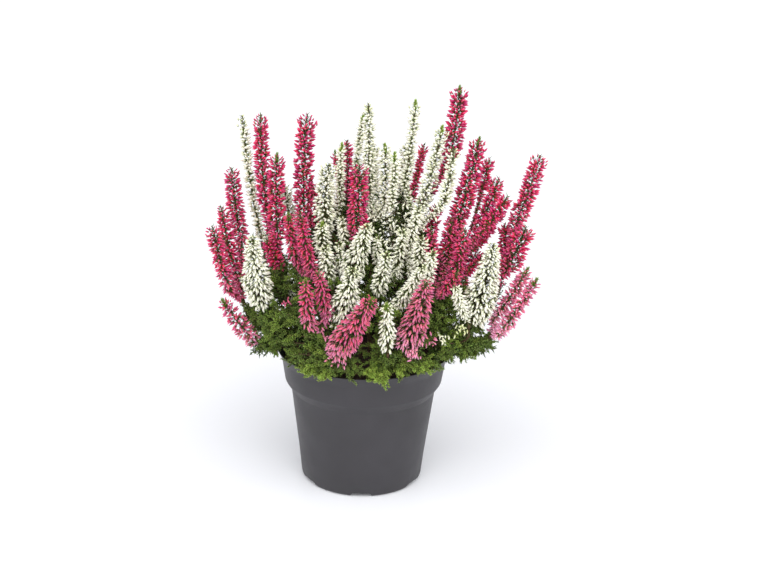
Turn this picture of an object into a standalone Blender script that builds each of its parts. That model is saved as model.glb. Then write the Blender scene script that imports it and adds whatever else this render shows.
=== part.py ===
"""Potted heather: a nursery pot with red and white flowering heather.

The model is in metres with +Z up. Its origin is the middle of the pot's underside,
and the photographed side faces -Y. The driving dimensions below are in millimetres.
"""
import math
import random

import bpy
import numpy as np

MM = 0.001
GAP = 0.3

# Pot
POT_HEIGHT, RIM_RADIUS = 100.0, 63.0
RIM_EDGE = 0.6
LIP_RADIUS, LIP_BOTTOM = 59.6, 93.0
COLLAR_RADIUS, COLLAR_BOTTOM = 57.1, 76.5
STEP_RADIUS, STEP_HEIGHT = 52.5, 69.5
FOOT_RADIUS, FOOT_ROUND = 44.0, 3.2
WALL = 1.4
FLOOR, FLOOR_CORNER = 4.2, 2.0
POT_SIDES = 36
GROOVES = 6
GROOVE_WIDTH, GROOVE_HEIGHT, GROOVE_START = 15.0, 2.8, 20.0
DRAIN_RADIUS, DRAIN_RING = 3.5, 31.0
DRAIN_SIDES = 12

# Soil
SOIL_TOP = 88.0
SOIL_CROWN, SOIL_EDGE = 1.2, 0.6
SOIL_SIDES = 24
HOLE_DEPTH = 11.0

# Stems
TRUNK_RADIUS = 1.6
TRUNK_RISE = 5.0
STEM_SINK = 2.5
STEM_RADIUS = 1.1
STALK_RADIUS = 0.9
KNUCKLE_RADIUS, KNUCKLE_LENGTH = 1.4, 3.2
STRAIGHT_END = 4.0
STEM_PULL = 0.42
RIM_ARCH, ARCH_RISE = 16.0, 0.3
FORK_DROP, FORK_SPREAD = 5.0, 0.85
BOW = 0.04
STEM_CORE, STEM_ROOM, LEAF_CORE = 1.1, 1.2, 0.4

# Flower spikes
ROW_SPACING = 11.0
SLIM = 7.0
FLORET_SPREAD = 1.12
TAPER_POWER = 1.6
CORE_SHARE = 0.42
FOOT_CORE, TIP_CORE, TIP_SHARE = 1.5, 0.8, 0.3
FLORET_LIFT = 2.2

# Leafy shoots
LEAF_REACH = 4.6
LEAF_LIFT = 1.8
LEAF_SPACING = 14.0
SHOOT_LENGTH = 27.0
SHOOT_RADIUS = 4.8
SHOOT_SHAPE = (0.35, 0.95, 1.0, 0.9, 0.5)
SHOOT_CORE = (0.5, 1.4, 1.5, 1.3, 0.9)
SHOOT_SAG = 2.0
INNER_SHOOTS, OUTER_SHOOTS = 1, 4
OUTER_ROOT = 23.0
SHOOT_TRIES = 200
LEAF_CLEARANCE = 0.8
RIM_CLEARANCE, RIM_ROUNDS, RIM_BALLS = 3.2, 7, 33
RIM_OWNER = -100
SEED = 7

RED = (0.52, 0.02, 0.09, 1.0)
WHITE = (0.80, 0.80, 0.66, 1.0)
GREEN = (0.09, 0.17, 0.03, 1.0)
ANTHRACITE = (0.075, 0.072, 0.078, 1.0)
PEAT = (0.035, 0.022, 0.014, 1.0)

# Each spray is a list of flower spikes: base, tip (right, depth, height), half width, taper
SPRAYS = {
    "red_left": [
        ((-90, 5, 141), (-104, 10, 201), 5.5, 0.35),
        ((-96, -12, 146), (-108, -14, 194), 5.9, 0.3),
        ((-90, 16, 172), (-97, 22, 226), 6.3, 0.35)],
    "red_left_low": [((-79, -23, 112), (-100, -30, 145), 6.6, 0.45)],
    "red_left_tall": [
        ((-72, 18, 196), (-77, 30, 264), 5.9, 0.4),
        ((-63, 2, 182), (-64, 10, 240), 6.6, 0.45),
        ((-62, 0, 159), (-71, 0, 180), 5.5, 0.4)],
    "red_back_tall": [
        ((-45, 16, 193), (-44, 30, 265), 7.0, 0.3),
        ((-18, 26, 210), (-24, 34, 236), 3.6, 0.3)],
    "red_left_front": [
        ((-48, -18, 169), (-54, -28, 208), 5.2, 0.4),
        ((-37, -30, 167), (-46, -42, 214), 5.2, 0.4)],
    "red_front_pair": [
        ((-38, -62, 140), (-40, -75, 177), 5.2, 0.3),
        ((-25, -58, 146), (-32, -72, 182), 5.2, 0.3)],
    "red_middle": [((-6, -14, 188), (-6, -14, 241), 7.0, 0.25)],
    "red_crown": [
        ((32, 32, 205), (40, 44, 241), 3.6, 0.3),
        ((58, 20, 239), (63, 28, 287), 7.0, 0.4)],
    "red_right_tall": [
        ((63, -2, 196), (77, 6, 256), 7.4, 0.4),
        ((81, 18, 214), (86, 24, 237), 4.4, 0.4),
        ((79, 1, 191), (92, 6, 228), 5.9, 0.4),
        ((82, -9, 194), (98, -9, 219), 5.2, 0.3),
        ((82, 12, 180), (97, 18, 201), 4.4, 0.3),
        ((68, -5, 157), (85, 5, 171), 4.1, 0.3),
        ((80, 8, 176), (91, 20, 187), 3.7, 0.3)],
    "red_right_outer": [
        ((106, 5, 195), (121, 14, 243), 6.6, 0.35),
        ((100, -12, 167), (112, -8, 197), 8.1, 0.3),
        ((99, 2, 168), (98, 10, 193), 5.2, 0.3)],
    "red_right_low": [
        ((91, -32, 136), (112, -35, 175), 5.2, 0.3),
        ((94, -42, 128), (117, -48, 172), 5.2, 0.3)],
    "red_right_front": [
        ((45, -20, 168), (44, -22, 199), 5.5, 0.4),
        ((56, -12, 170), (59, -8, 202), 5.9, 0.4),
        ((60, -28, 155), (68, -25, 200), 5.9, 0.4),
        ((52, -38, 155), (63, -45, 174), 4.4, 0.3)],
    "red_front_right": [((30, -60, 126), (41, -78, 180), 9.2, 0.55)],
    "red_front_left": [((-18, -68, 123), (5, -95, 172), 9.2, 0.5)],
    "white_left_tall": [((-77, 24, 177), (-91, 38, 261), 4.4, 0.3)],
    "white_left_low": [
        ((-73, -30, 146), (-78, -40, 196), 9.6, 0.75),
        ((-75, -24, 143), (-87, -30, 162), 2.9, 0.3)],
    "white_left_inner": [
        ((-19, 12, 203), (-19, 18, 246), 3.7, 0.3),
        ((-30, -4, 195), (-27, 0, 237), 7.7, 0.5)],
    "white_middle_low": [
        ((-30, -18, 178), (-31, -18, 199), 6.6, 0.5),
        ((-26, -28, 160), (-28, -32, 187), 5.9, 0.4),
        ((-17, -21, 166), (-19, -22, 187), 4.1, 0.3),
        ((-16, -12, 184), (-18, -8, 201), 4.4, 0.3)],
    "white_crown": [
        ((-9, 22, 227), (-4, 30, 265), 3.7, 0.3),
        ((1, 6, 216), (-1, 12, 278), 5.2, 0.5),
        ((12, 2, 210), (11, 8, 249), 5.2, 0.4),
        ((17, -8, 210), (18, -6, 247), 4.4, 0.4)],
    "white_right_tall": [
        ((26, 12, 219), (32, 24, 277), 4.8, 0.45),
        ((36, 0, 199), (51, 8, 263), 5.9, 0.5),
        ((53, -8, 211), (59, -2, 251), 5.2, 0.4)],
    "white_right_low": [
        ((77, -38, 140), (87, -38, 194), 11.0, 0.8),
        ((67, -48, 146), (60, -58, 169), 4.4, 0.3)],
    "white_middle_right": [
        ((29, -20, 185), (36, -20, 214), 5.2, 0.4),
        ((36, -34, 165), (37, -42, 199), 5.9, 0.4),
        ((41, -44, 164), (45, -55, 193), 4.8, 0.4)],
    "white_middle": [
        ((21, -25, 164), (25, -30, 200), 5.2, 0.4),
        ((9, -42, 158), (14, -52, 190), 5.9, 0.4),
        ((8, -28, 174), (8, -32, 195), 3.7, 0.3)],
    "white_front_left": [
        ((-10, -35, 167), (1, -48, 208), 8.1, 0.5),
        ((-16, -55, 140), (-8, -72, 185), 9.2, 0.5)],
    "white_front_low": [((16, -68, 127), (14, -88, 166), 5.2, 0.3)],
    "white_front_slant": [((21, -48, 147), (39, -66, 186), 5.2, 0.4)],
}

# The unseen back: each spray's direction round the pot, in degrees from +X, and its spikes
BACK_SPRAYS = {
    "red_rear_1": (27, 2), "red_rear_2": (46, 2), "white_rear_1": (66, 3),
    "white_rear_2": (86, 3), "red_rear_3": (106, 3), "red_rear_4": (126, 2),
    "white_rear_3": (145, 2),
}
# Base radius, base height, tip radius, tip height, half width of those spikes, from the lowest
BACK_LAYERS = ((66, 122, 90, 166, 6.6), (58, 150, 75, 198, 6.2), (46, 184, 58, 236, 5.6))

# Each branch stands in the soil and carries the sprays that are named
BRANCHES = {
    "red_a": ("red_left", "red_left_low"),
    "red_b": ("red_left_tall",),
    "red_c": ("red_back_tall", "red_left_front"),
    "red_d": ("red_front_pair",),
    "red_e": ("red_middle", "red_crown"),
    "red_f": ("red_right_tall",),
    "red_g": ("red_right_outer", "red_right_low"),
    "red_h": ("red_right_front",),
    "red_i": ("red_front_right",),
    "red_j": ("red_front_left",),
    "red_k": ("red_rear_1", "red_rear_2"),
    "red_l": ("red_rear_3", "red_rear_4"),
    "white_a": ("white_left_tall",),
    "white_b": ("white_left_low",),
    "white_c": ("white_left_inner", "white_middle_low"),
    "white_d": ("white_crown",),
    "white_e": ("white_right_tall",),
    "white_f": ("white_right_low",),
    "white_g": ("white_middle_right", "white_middle"),
    "white_h": ("white_front_left",),
    "white_i": ("white_front_low", "white_front_slant"),
    "white_j": ("white_rear_1", "white_rear_2"),
    "white_k": ("white_rear_3",),
}
ROOT_SHARE = 0.38
ROOT_LIMIT = 40.0
ROOT_SPACING = 11.0
ROOT_STEPS = 60


def clear_scene():
    for old in list(bpy.data.objects):
        bpy.data.objects.remove(old, do_unlink=True)


def material(name, colour, roughness, metallic=0.0):
    made = bpy.data.materials.new(name)
    made.use_nodes = True
    shader = made.node_tree.nodes["Principled BSDF"]
    shader.inputs["Base Color"].default_value = colour
    shader.inputs["Roughness"].default_value = roughness
    shader.inputs["Metallic"].default_value = metallic
    made.diffuse_color = colour
    return made


def add_object(name, points, faces, finish=None):
    """Link a mesh object made of points in millimetres."""
    mesh = bpy.data.meshes.new(name)
    mesh.from_pydata((np.asarray(points) * MM).tolist(), [], faces)
    mesh.update()
    made = bpy.data.objects.new(name, mesh)
    bpy.context.scene.collection.objects.link(made)
    if finish is not None:
        mesh.materials.append(finish)
    return made


def shade_round(piece, angle=35.0):
    piece.data.shade_smooth()
    piece.data.set_sharp_from_angle(angle=math.radians(angle))


def unit(vector):
    vector = np.asarray(vector, float)
    return vector / np.linalg.norm(vector, axis=-1, keepdims=True)


def bezier(start, control, end, count):
    """Points on a quadratic curve from start to end, pulled towards control."""
    t = np.linspace(0.0, 1.0, count)[:, None]
    start, control, end = (np.asarray(p, float) for p in (start, control, end))
    return (1 - t) ** 2 * start + 2 * t * (1 - t) * control + t ** 2 * end


def axes_along(path):
    """Two unit vectors square to the path at each of its points."""
    tangent = unit(np.gradient(path, axis=0))
    reference = np.eye(3)[np.argmin(np.abs(path[-1] - path[0]))]
    across = unit(np.cross(tangent, reference))
    return across, np.cross(tangent, across)


def ring(path, axes, row, radius, angles):
    across, over = axes
    turned = np.cos(angles)[:, None] * across[row] + np.sin(angles)[:, None] * over[row]
    return path[row] + radius * turned


def tube(path, radii, sides):
    """A closed round stem along a path."""
    path = np.asarray(path, float)
    axes = axes_along(path)
    angles = np.arange(sides) * math.tau / sides
    points = [ring(path, axes, row, radii[row], angles) for row in range(len(path))]
    faces = [list(range(sides))[::-1]]
    for row in range(len(path) - 1):
        low, high = row * sides, (row + 1) * sides
        for i in range(sides):
            j = (i + 1) % sides
            faces.append([low + i, low + j, high + j, high + i])
    faces.append([len(path) * sides - sides + i for i in range(sides)])
    return np.concatenate(points), faces


def floret_tube(path, core, peaks, sides, lift, bare=0):
    """A stem with a point raised from every diamond of a net wrapped round it.

    Rows of the net are turned half a step from their neighbours. Each diamond between
    three rows has its middle raised to the peak radius and moved on by lift, so four
    faces make one floret or leaf, and the florets cover the stem all over. The first
    rows, as many as bare says, are a plain stalk.
    """
    path = np.asarray(path, float)
    lift = np.broadcast_to(lift, len(path))
    axes = axes_along(path)
    along = unit(np.gradient(path, axis=0))
    rows = len(path) - 1
    step = math.tau / sides
    points = []
    for row in range(rows + 1):
        shift = max(row - bare, 0) % 2
        points.append(ring(path, axes, row, core[row], (np.arange(sides) + 0.5 * shift) * step))
    faces = [list(range(sides))[::-1]]
    count = sides * (rows + 1)
    for row in range(rows + 1):
        shift = (row - bare) % 2
        for i in range(sides):
            left, right = row * sides + i, row * sides + (i + 1) % sides
            if row < bare:
                faces.append([left, right, right + sides, left + sides])
                continue
            beside = (i + shift) % sides
            below, above = (row - 1) * sides + beside, (row + 1) * sides + beside
            if row == bare:
                faces.append([left, right, above])
            elif row == rows:
                faces.append([below, right, left])
            else:
                angle = np.array([(i + 0.5 + 0.5 * shift) * step])
                points.append(ring(path, axes, row, peaks[row], angle) + lift[row] * along[row])
                faces += [[below, right, count], [right, above, count],
                          [above, left, count], [left, below, count]]
                count += 1
    points.append([path[-1] + along[-1] * core[-1]])
    top = rows * sides
    faces += [[top + i, top + (i + 1) % sides, count] for i in range(sides)]
    return np.concatenate(points), faces


def joined(name, shapes, finish):
    """One closed body from overlapping shapes, by a single union."""
    if len(shapes) == 1:
        return add_object(name, *shapes[0], finish)
    parts = bpy.data.collections.new(name + "_parts")
    bpy.context.scene.collection.children.link(parts)
    body = add_object(name, *shapes[0], finish)
    for number, shape in enumerate(shapes[1:]):
        part = add_object(f"{name}_{number}", *shape, finish)
        bpy.context.scene.collection.objects.unlink(part)
        parts.objects.link(part)
    union = body.modifiers.new("union", "BOOLEAN")
    union.operation = "UNION"
    union.operand_type = "COLLECTION"
    union.collection = parts
    union.solver = "EXACT"
    apply_modifiers(body)
    for part in list(parts.objects):
        bpy.data.objects.remove(part, do_unlink=True)
    bpy.data.collections.remove(parts)
    return body


def apply_modifiers(piece):
    """Replace an object's mesh by the one its modifiers make."""
    graph = bpy.context.evaluated_depsgraph_get()
    made = bpy.data.meshes.new_from_object(piece.evaluated_get(graph))
    piece.modifiers.clear()
    piece.data = made


def cut(piece, cutter, name):
    """Cut a shape out of a piece and keep the cutter hidden."""
    cutter.hide_render = True
    cutter.display_type = "WIRE"
    modifier = piece.modifiers.new(name, "BOOLEAN")
    modifier.operation = "DIFFERENCE"
    modifier.object = cutter
    modifier.solver = "EXACT"


def turned(name, profile, sides, finish):
    """A solid of revolution whose profile starts and ends on the axis."""
    angles = np.arange(sides) * math.tau / sides
    circle = np.stack([np.cos(angles), np.sin(angles)], axis=1)
    points = [[[0.0, 0.0, profile[0][1]]]]
    points += [np.column_stack([circle * radius, np.full(sides, height)])
               for radius, height in profile[1:-1]]
    points.append([[0.0, 0.0, profile[-1][1]]])
    points = np.concatenate(points)
    rings = len(profile) - 2
    faces = []
    for i in range(sides):
        j = (i + 1) % sides
        faces.append([0, 1 + j, 1 + i])
        for row in range(rings - 1):
            low, high = 1 + row * sides, 1 + (row + 1) * sides
            faces.append([low + i, low + j, high + j, high + i])
        last = 1 + (rings - 1) * sides
        faces.append([last + i, last + j, len(points) - 1])
    return add_object(name, points, faces, finish)


def outer_wall(height):
    """The pot's outer radius at a height."""
    heights = (FOOT_ROUND, STEP_HEIGHT, COLLAR_BOTTOM, LIP_BOTTOM, POT_HEIGHT)
    radii = (FOOT_RADIUS, STEP_RADIUS, COLLAR_RADIUS, LIP_RADIUS, RIM_RADIUS)
    return float(np.interp(height, heights, radii))


def make_pot(finish):
    corner = [(FOOT_RADIUS - FOOT_ROUND * (1 - math.sin(a)), FOOT_ROUND * (1 - math.cos(a)))
              for a in np.radians((0, 45, 90))]
    outside = [(0.0, 0.0)] + corner + [
        (STEP_RADIUS, STEP_HEIGHT), (COLLAR_RADIUS, COLLAR_BOTTOM), (LIP_RADIUS, LIP_BOTTOM),
        (RIM_RADIUS, POT_HEIGHT - RIM_EDGE), (RIM_RADIUS - RIM_EDGE, POT_HEIGHT)]
    inside = [(RIM_RADIUS - WALL, POT_HEIGHT)]
    inside += [(outer_wall(h) - WALL, h)
               for h in (LIP_BOTTOM, COLLAR_BOTTOM, STEP_HEIGHT, 2 * FLOOR)]
    inside += [(FOOT_RADIUS - WALL - FLOOR_CORNER, FLOOR), (0.0, FLOOR)]
    pot = turned("pot", outside + inside, POT_SIDES, finish)
    grooves = []
    for k in range(GROOVES):
        turn = math.tau * k / GROOVES - math.pi / 2
        groove = block(GROOVE_START, FOOT_RADIUS + 6, GROOVE_WIDTH, -1.0, GROOVE_HEIGHT, turn)
        middle = DRAIN_RING * np.array([math.cos(turn), math.sin(turn)])
        drain = tube([(*middle, 0.5), (*middle, FLOOR + 1)], (DRAIN_RADIUS,) * 2, DRAIN_SIDES)
        grooves += [groove, drain]
    cutter = joined("grooves", grooves, finish)
    cut(pot, cutter, "drainage")
    apply_modifiers(pot)
    bpy.data.objects.remove(cutter, do_unlink=True)
    shade_round(pot)
    return pot


def block(start, end, width, bottom, top, turn):
    """A box that runs outwards from the axis in one direction."""
    outwards = np.array([math.cos(turn), math.sin(turn), 0.0])
    sideways = np.array([-outwards[1], outwards[0], 0.0])
    points = [outwards * r + sideways * s * width / 2 + np.array([0, 0, z])
              for z in (bottom, top) for r, s in ((start, -1), (end, -1), (end, 1), (start, 1))]
    faces = [[3, 2, 1, 0], [4, 5, 6, 7], [0, 1, 5, 4], [1, 2, 6, 5], [2, 3, 7, 6], [3, 0, 4, 7]]
    return np.array(points), faces


def make_soil(roots, finish):
    side = [(outer_wall(h) - WALL - GAP, h) for h in (2 * FLOOR, STEP_HEIGHT, COLLAR_BOTTOM)]
    foot = FOOT_RADIUS - WALL - FLOOR_CORNER - GAP
    profile = [(0.0, FLOOR + GAP), (foot, FLOOR + GAP)] + side
    edge = outer_wall(SOIL_TOP - SOIL_EDGE) - WALL - GAP
    profile += [(edge, SOIL_TOP - SOIL_EDGE), (0.6 * edge, SOIL_TOP + 0.7 * SOIL_CROWN),
                (0.0, SOIL_TOP + SOIL_CROWN)]
    soil = turned("soil", profile, SOIL_SIDES, finish)
    holes = []
    hole_radius = (TRUNK_RADIUS + GAP) / math.cos(math.pi / 6) + 0.1
    for root in roots:
        bottom = (*root, SOIL_TOP - HOLE_DEPTH)
        holes.append(tube([bottom, (*root, SOIL_TOP + 5)], (hole_radius,) * 2, 6))
    cutter = joined("stem_holes", holes, finish)
    cut(soil, cutter, "stem_holes")
    apply_modifiers(soil)
    bpy.data.objects.remove(cutter, do_unlink=True)
    shade_round(soil)
    return soil


def back_sprays():
    """The unseen sprays: three spikes one above another at each direction."""
    chance = random.Random(SEED)
    made = {}
    for name, (degrees, count) in BACK_SPRAYS.items():
        spikes = []
        for low_radius, low, high_radius, high, half in BACK_LAYERS[:count]:
            turn = math.radians(degrees + chance.uniform(-3, 3))
            spread = math.radians(chance.uniform(-3, 3))
            rise = chance.uniform(-6, 6)
            base = (low_radius * math.cos(turn), low_radius * math.sin(turn), low + rise)
            tip = (high_radius * math.cos(turn + spread), high_radius * math.sin(turn + spread),
                   high + rise + chance.uniform(-4, 8))
            spikes.append((base, tip, half, 0.4))
        made[name] = spikes
    return made


def spike_path(base, tip, count):
    """A spike leans outwards at its base and straightens towards its tip."""
    base, tip = np.asarray(base, float), np.asarray(tip, float)
    outwards = unit(np.array([base[0], base[1], 0.0]) + 1e-6)
    bow = BOW * np.linalg.norm(tip - base) * outwards
    return bezier(base, (base + tip) / 2 + bow, tip, count)


def spike_shape(stalk, base, tip, half, taper):
    """A flower spike: rows of raised florets round a slim core, on the stalk that carries it."""
    length = float(np.linalg.norm(np.subtract(tip, base)))
    rows = max(3, round(length / ROW_SPACING))
    sides = 4 if half < SLIM else 5
    t = np.linspace(0.0, 1.0, rows + 1)
    peaks = FLORET_SPREAD * half * (1 - taper * t ** TAPER_POWER) * np.minimum(1.0, 0.8 + t)
    core = CORE_SHARE * peaks
    core[0] = STALK_RADIUS * FOOT_CORE
    core[-1] = max(TIP_CORE, TIP_SHARE * peaks[-1])
    bare = len(stalk) - 1
    path = np.vstack([stalk[:-1], spike_path(base, tip, rows + 1)])
    core = np.append(np.full(bare, STALK_RADIUS), core)
    peaks = np.append(np.full(bare, STALK_RADIUS), peaks)
    return floret_tube(path, core, peaks, sides, FLORET_LIFT, bare)


def fork_of(spikes):
    """The place below a spray's spikes where their stalks part, and the way they leave it."""
    bases = np.array([spike[0] for spike in spikes], float)
    tips = np.array([spike[1] for spike in spikes], float)
    way = unit(np.mean(unit(tips - bases), axis=0))
    reach = np.max(np.linalg.norm(bases - bases.mean(axis=0), axis=1))
    lowest = bases.mean(axis=0) - way * (FORK_DROP + FORK_SPREAD * reach)
    return lowest, way


def stalk_path(fork, way, base, tip, start=0.0):
    """A stalk leaves the fork, or a place a little past it, and runs up to its spike."""
    heading = unit(np.subtract(tip, base))
    first = fork + way * start
    reach = 0.5 * np.linalg.norm(base - first)
    control = (first + way * reach + np.asarray(base) - heading * reach) / 2
    return bezier(first, control, base, 3)


def spray_shapes(spikes):
    """Every spike of a spray on its stalk, and the knuckle where those meet."""
    fork, way = fork_of(spikes)
    if len(spikes) == 1:
        return [spike_shape(stalk_path(fork, way, *spikes[0][:2]), *spikes[0])]
    shapes = [tube([fork, fork + way * KNUCKLE_LENGTH], (KNUCKLE_RADIUS,) * 2, 5)]
    for number, spike in enumerate(spikes):
        start = KNUCKLE_LENGTH * (0.3 + 0.1 * number)
        shapes.append(spike_shape(stalk_path(fork, way, *spike[:2], start), *spike))
    return shapes


def place_roots(branches):
    """Each branch stands in the soil below its own sprays, and the roots keep apart."""
    places = []
    for sprays in branches:
        forks = np.array([fork_of(spikes)[0] for spikes in sprays])
        places.append(ROOT_SHARE * forks[:, :2].mean(axis=0))
    places = np.array(places)
    for step in range(ROOT_STEPS):
        apart = places[:, None] - places[None]
        distance = np.linalg.norm(apart, axis=2)
        np.fill_diagonal(distance, math.inf)
        short = np.clip(ROOT_SPACING - distance, 0.0, None)
        places += 0.5 * (apart / distance[..., None] * short[..., None]).sum(axis=1)
        reach = np.linalg.norm(places, axis=1)
        places *= np.minimum(1.0, ROOT_LIMIT / reach)[:, None]
    return places


def stem_path(root, fork, way):
    """A stem climbs out of its trunk and arches over the rim to its spray's fork."""
    start = np.array([*root, SOIL_TOP + TRUNK_RISE - STEM_SINK])
    end = fork - way * (GAP + STEM_RADIUS)
    join = end - way * STRAIGHT_END
    reach = np.linalg.norm(join - start)
    control = join - way * STEM_PULL * reach
    overhang = max(0.0, np.linalg.norm(control[:2]) - ROOT_LIMIT)
    control[2] = max(control[2], SOIL_TOP + RIM_ARCH + ARCH_RISE * overhang)
    rows = max(4, round(reach / LEAF_SPACING))
    return np.vstack([bezier(start, control, join, rows), end])


def leafy_stem(path, room, owner):
    """A stem with leaves all round it above its bare foot, shorter where a neighbour is close."""
    thick = STEM_CORE * STEM_RADIUS
    reach = np.clip(room.space(path, owner) - LEAF_CLEARANCE, thick, LEAF_REACH)
    core = np.full(len(path), thick)
    core[2:-1] = np.clip(LEAF_CORE * reach[2:-1], STEM_RADIUS, None)
    core[-1] = STEM_RADIUS
    room.fill(path[2:-1], reach[2:-1], owner)
    return floret_tube(path, core, reach, 4, LEAF_LIFT * reach / LEAF_REACH, bare=1)


def make_trunk(root):
    bottom = SOIL_TOP - HOLE_DEPTH + GAP
    return tube([(*root, bottom), (*root, SOIL_TOP + TRUNK_RISE)], (TRUNK_RADIUS,) * 2, 4)


class Room:
    """The space that stems, spikes and shoots already fill, as a cloud of balls."""

    def __init__(self):
        self.centres = np.zeros((0, 3))
        self.radii = np.zeros(0)
        self.owners = np.zeros(0, int)

    def fill(self, path, radius, owner):
        path = np.asarray(path, float)
        rows = np.arange(len(path))
        steps = np.linspace(0, len(path) - 1, 3 * len(path))
        centres = np.column_stack([np.interp(steps, rows, path[:, k]) for k in range(3)])
        radii = np.interp(steps, rows, np.broadcast_to(radius, len(path)))
        self.centres = np.vstack([self.centres, centres])
        self.radii = np.append(self.radii, radii)
        self.owners = np.append(self.owners, np.full(len(centres), owner))

    def space(self, path, owner):
        """How far each point is from the nearest thing of another owner, or from the soil."""
        other = self.owners != owner
        apart = np.linalg.norm(path[:, None] - self.centres[None, other], axis=2)
        nearest = (apart - self.radii[None, other]).min(axis=1)
        return np.minimum(nearest, path[:, 2] - SOIL_TOP - SOIL_CROWN)


def fill_rim(room):
    """The upper wall of the pot, as rounds of balls."""
    angles = np.linspace(0.0, math.tau, RIM_BALLS)
    for height in np.linspace(COLLAR_BOTTOM, POT_HEIGHT - WALL, RIM_ROUNDS):
        middle = outer_wall(height) - WALL / 2
        circle = np.column_stack([np.cos(angles), np.sin(angles)]) * middle
        rounds = np.column_stack([circle, np.full(RIM_BALLS, height)])
        room.fill(rounds, RIM_CLEARANCE, RIM_OWNER)


def leafy_shoots(paths, room, owner, chance):
    """Short leafy shoots that leave a branch's stems in every direction where there is room."""
    made = []
    wanted = OUTER_SHOOTS if np.linalg.norm(paths[0][0, :2]) > OUTER_ROOT else INNER_SHOOTS
    golden = math.pi * (3 - math.sqrt(5))
    peaks = SHOOT_RADIUS * np.array(SHOOT_SHAPE)
    for attempt in range(SHOOT_TRIES):
        if len(made) == wanted:
            break
        path = paths[attempt % len(paths)]
        place = chance.uniform(0.15, 0.85) * (len(path) - 1)
        low = int(place)
        root = path[low] + (path[low + 1] - path[low]) * (place - low)
        outwards = unit(np.array([root[0], root[1], 0.0]) + 1e-6)
        side = np.array([-outwards[1], outwards[0], 0.0])
        turn = attempt * golden
        way = unit(outwards * (0.5 + 0.8 * math.cos(turn)) + side * math.sin(turn)
                   + np.array([0, 0, chance.uniform(-0.35, 0.8)]))
        length = SHOOT_LENGTH * chance.uniform(0.8, 1.25)
        bend = root + way * length * 0.5 - np.array([0, 0, SHOOT_SAG])
        shoot = bezier(root, bend, root + way * length, len(peaks))
        if np.all(room.space(shoot[1:], owner) > peaks[1:] + LEAF_CLEARANCE):
            room.fill(shoot[1:], peaks[1:], owner + len(BRANCHES))
            made.append(floret_tube(shoot, SHOOT_CORE, peaks, 4, LEAF_LIFT))
    return made


def build():
    clear_scene()
    finishes = {
        "red": material("red_florets", RED, 0.55),
        "white": material("white_florets", WHITE, 0.55),
        "leaf": material("leaves_and_stems", GREEN, 0.6),
    }
    sprays = {**SPRAYS, **back_sprays()}
    room = Room()
    for number, spikes in enumerate(sprays.values()):
        fork, way = fork_of(spikes)
        for base, tip, half, taper in spikes:
            room.fill(spike_path(base, tip, 7), FLORET_SPREAD * half, -1 - number)
            room.fill(stalk_path(fork, way, base, tip), STALK_RADIUS, -1 - number)
    fill_rim(room)
    carried = [[sprays[spray] for spray in names] for names in BRANCHES.values()]
    roots = place_roots(carried)
    paths = [[stem_path(root, *fork_of(spikes)) for spikes in heads]
             for root, heads in zip(roots, carried)]
    for number, stems in enumerate(paths):
        for path in stems:
            room.fill(path, STEM_ROOM * STEM_RADIUS, number)

    make_pot(material("pot_plastic", ANTHRACITE, 0.5))
    make_soil(roots, material("peat", PEAT, 0.95))
    for name, spikes in sprays.items():
        joined("spray_" + name, spray_shapes(spikes), finishes[name.split("_")[0]])
    for number, name in enumerate(BRANCHES):
        shapes = [make_trunk(roots[number])]
        shapes += [leafy_stem(path, room, number) for path in paths[number]]
        shapes += leafy_shoots(paths[number], room, number, random.Random(SEED + number))
        joined("branch_" + name, shapes, finishes["leaf"])


build()
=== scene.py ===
# %% [markdown]
# # Potted heather
# A nursery pot with red and white flowering heather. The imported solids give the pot, the soil,
# the woody branches and the flower sprays their places. This script gives each of them its
# fine shape and its finish: thousands of small buds, scale leaves, bark, peat and grained plastic.
# Lengths are in millimetres and are turned into metres where a mesh is made.

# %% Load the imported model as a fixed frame
import math
import random

import bpy
import numpy as np
from mathutils import Matrix, Vector


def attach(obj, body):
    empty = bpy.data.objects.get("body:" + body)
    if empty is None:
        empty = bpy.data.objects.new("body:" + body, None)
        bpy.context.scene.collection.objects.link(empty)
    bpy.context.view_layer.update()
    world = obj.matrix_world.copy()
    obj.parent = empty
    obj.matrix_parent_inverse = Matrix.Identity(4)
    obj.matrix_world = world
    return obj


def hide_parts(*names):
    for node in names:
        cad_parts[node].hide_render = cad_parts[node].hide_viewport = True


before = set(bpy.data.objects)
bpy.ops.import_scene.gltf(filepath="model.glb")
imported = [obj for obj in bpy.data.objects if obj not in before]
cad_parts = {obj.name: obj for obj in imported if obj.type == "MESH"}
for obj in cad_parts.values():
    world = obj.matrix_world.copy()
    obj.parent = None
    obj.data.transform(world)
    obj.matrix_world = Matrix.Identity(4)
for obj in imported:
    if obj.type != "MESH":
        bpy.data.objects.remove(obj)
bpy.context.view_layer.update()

MM = 0.001

# %% [markdown]
# ## Camera
# The photograph looks down on the plant from a little over a metre away. A camera that is aimed
# with a track quaternion stays easy to move: its place and its target are two plain points, and
# the small roll of the picture is one more turn about the view's own axis.

# %% Camera
PHOTO_WIDTH, FOCAL_PIXELS, SENSOR = 772, 1625.3, 36.0
CAMERA_DISTANCE, CAMERA_TILT, CAMERA_LIFT = 1200.0, 24.34, 50.0
CAMERA_ROLL = 1.59
AIM = (14.69, 0.0, 143.89)
NEAREST, FARTHEST = 0.05, 50.0


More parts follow.
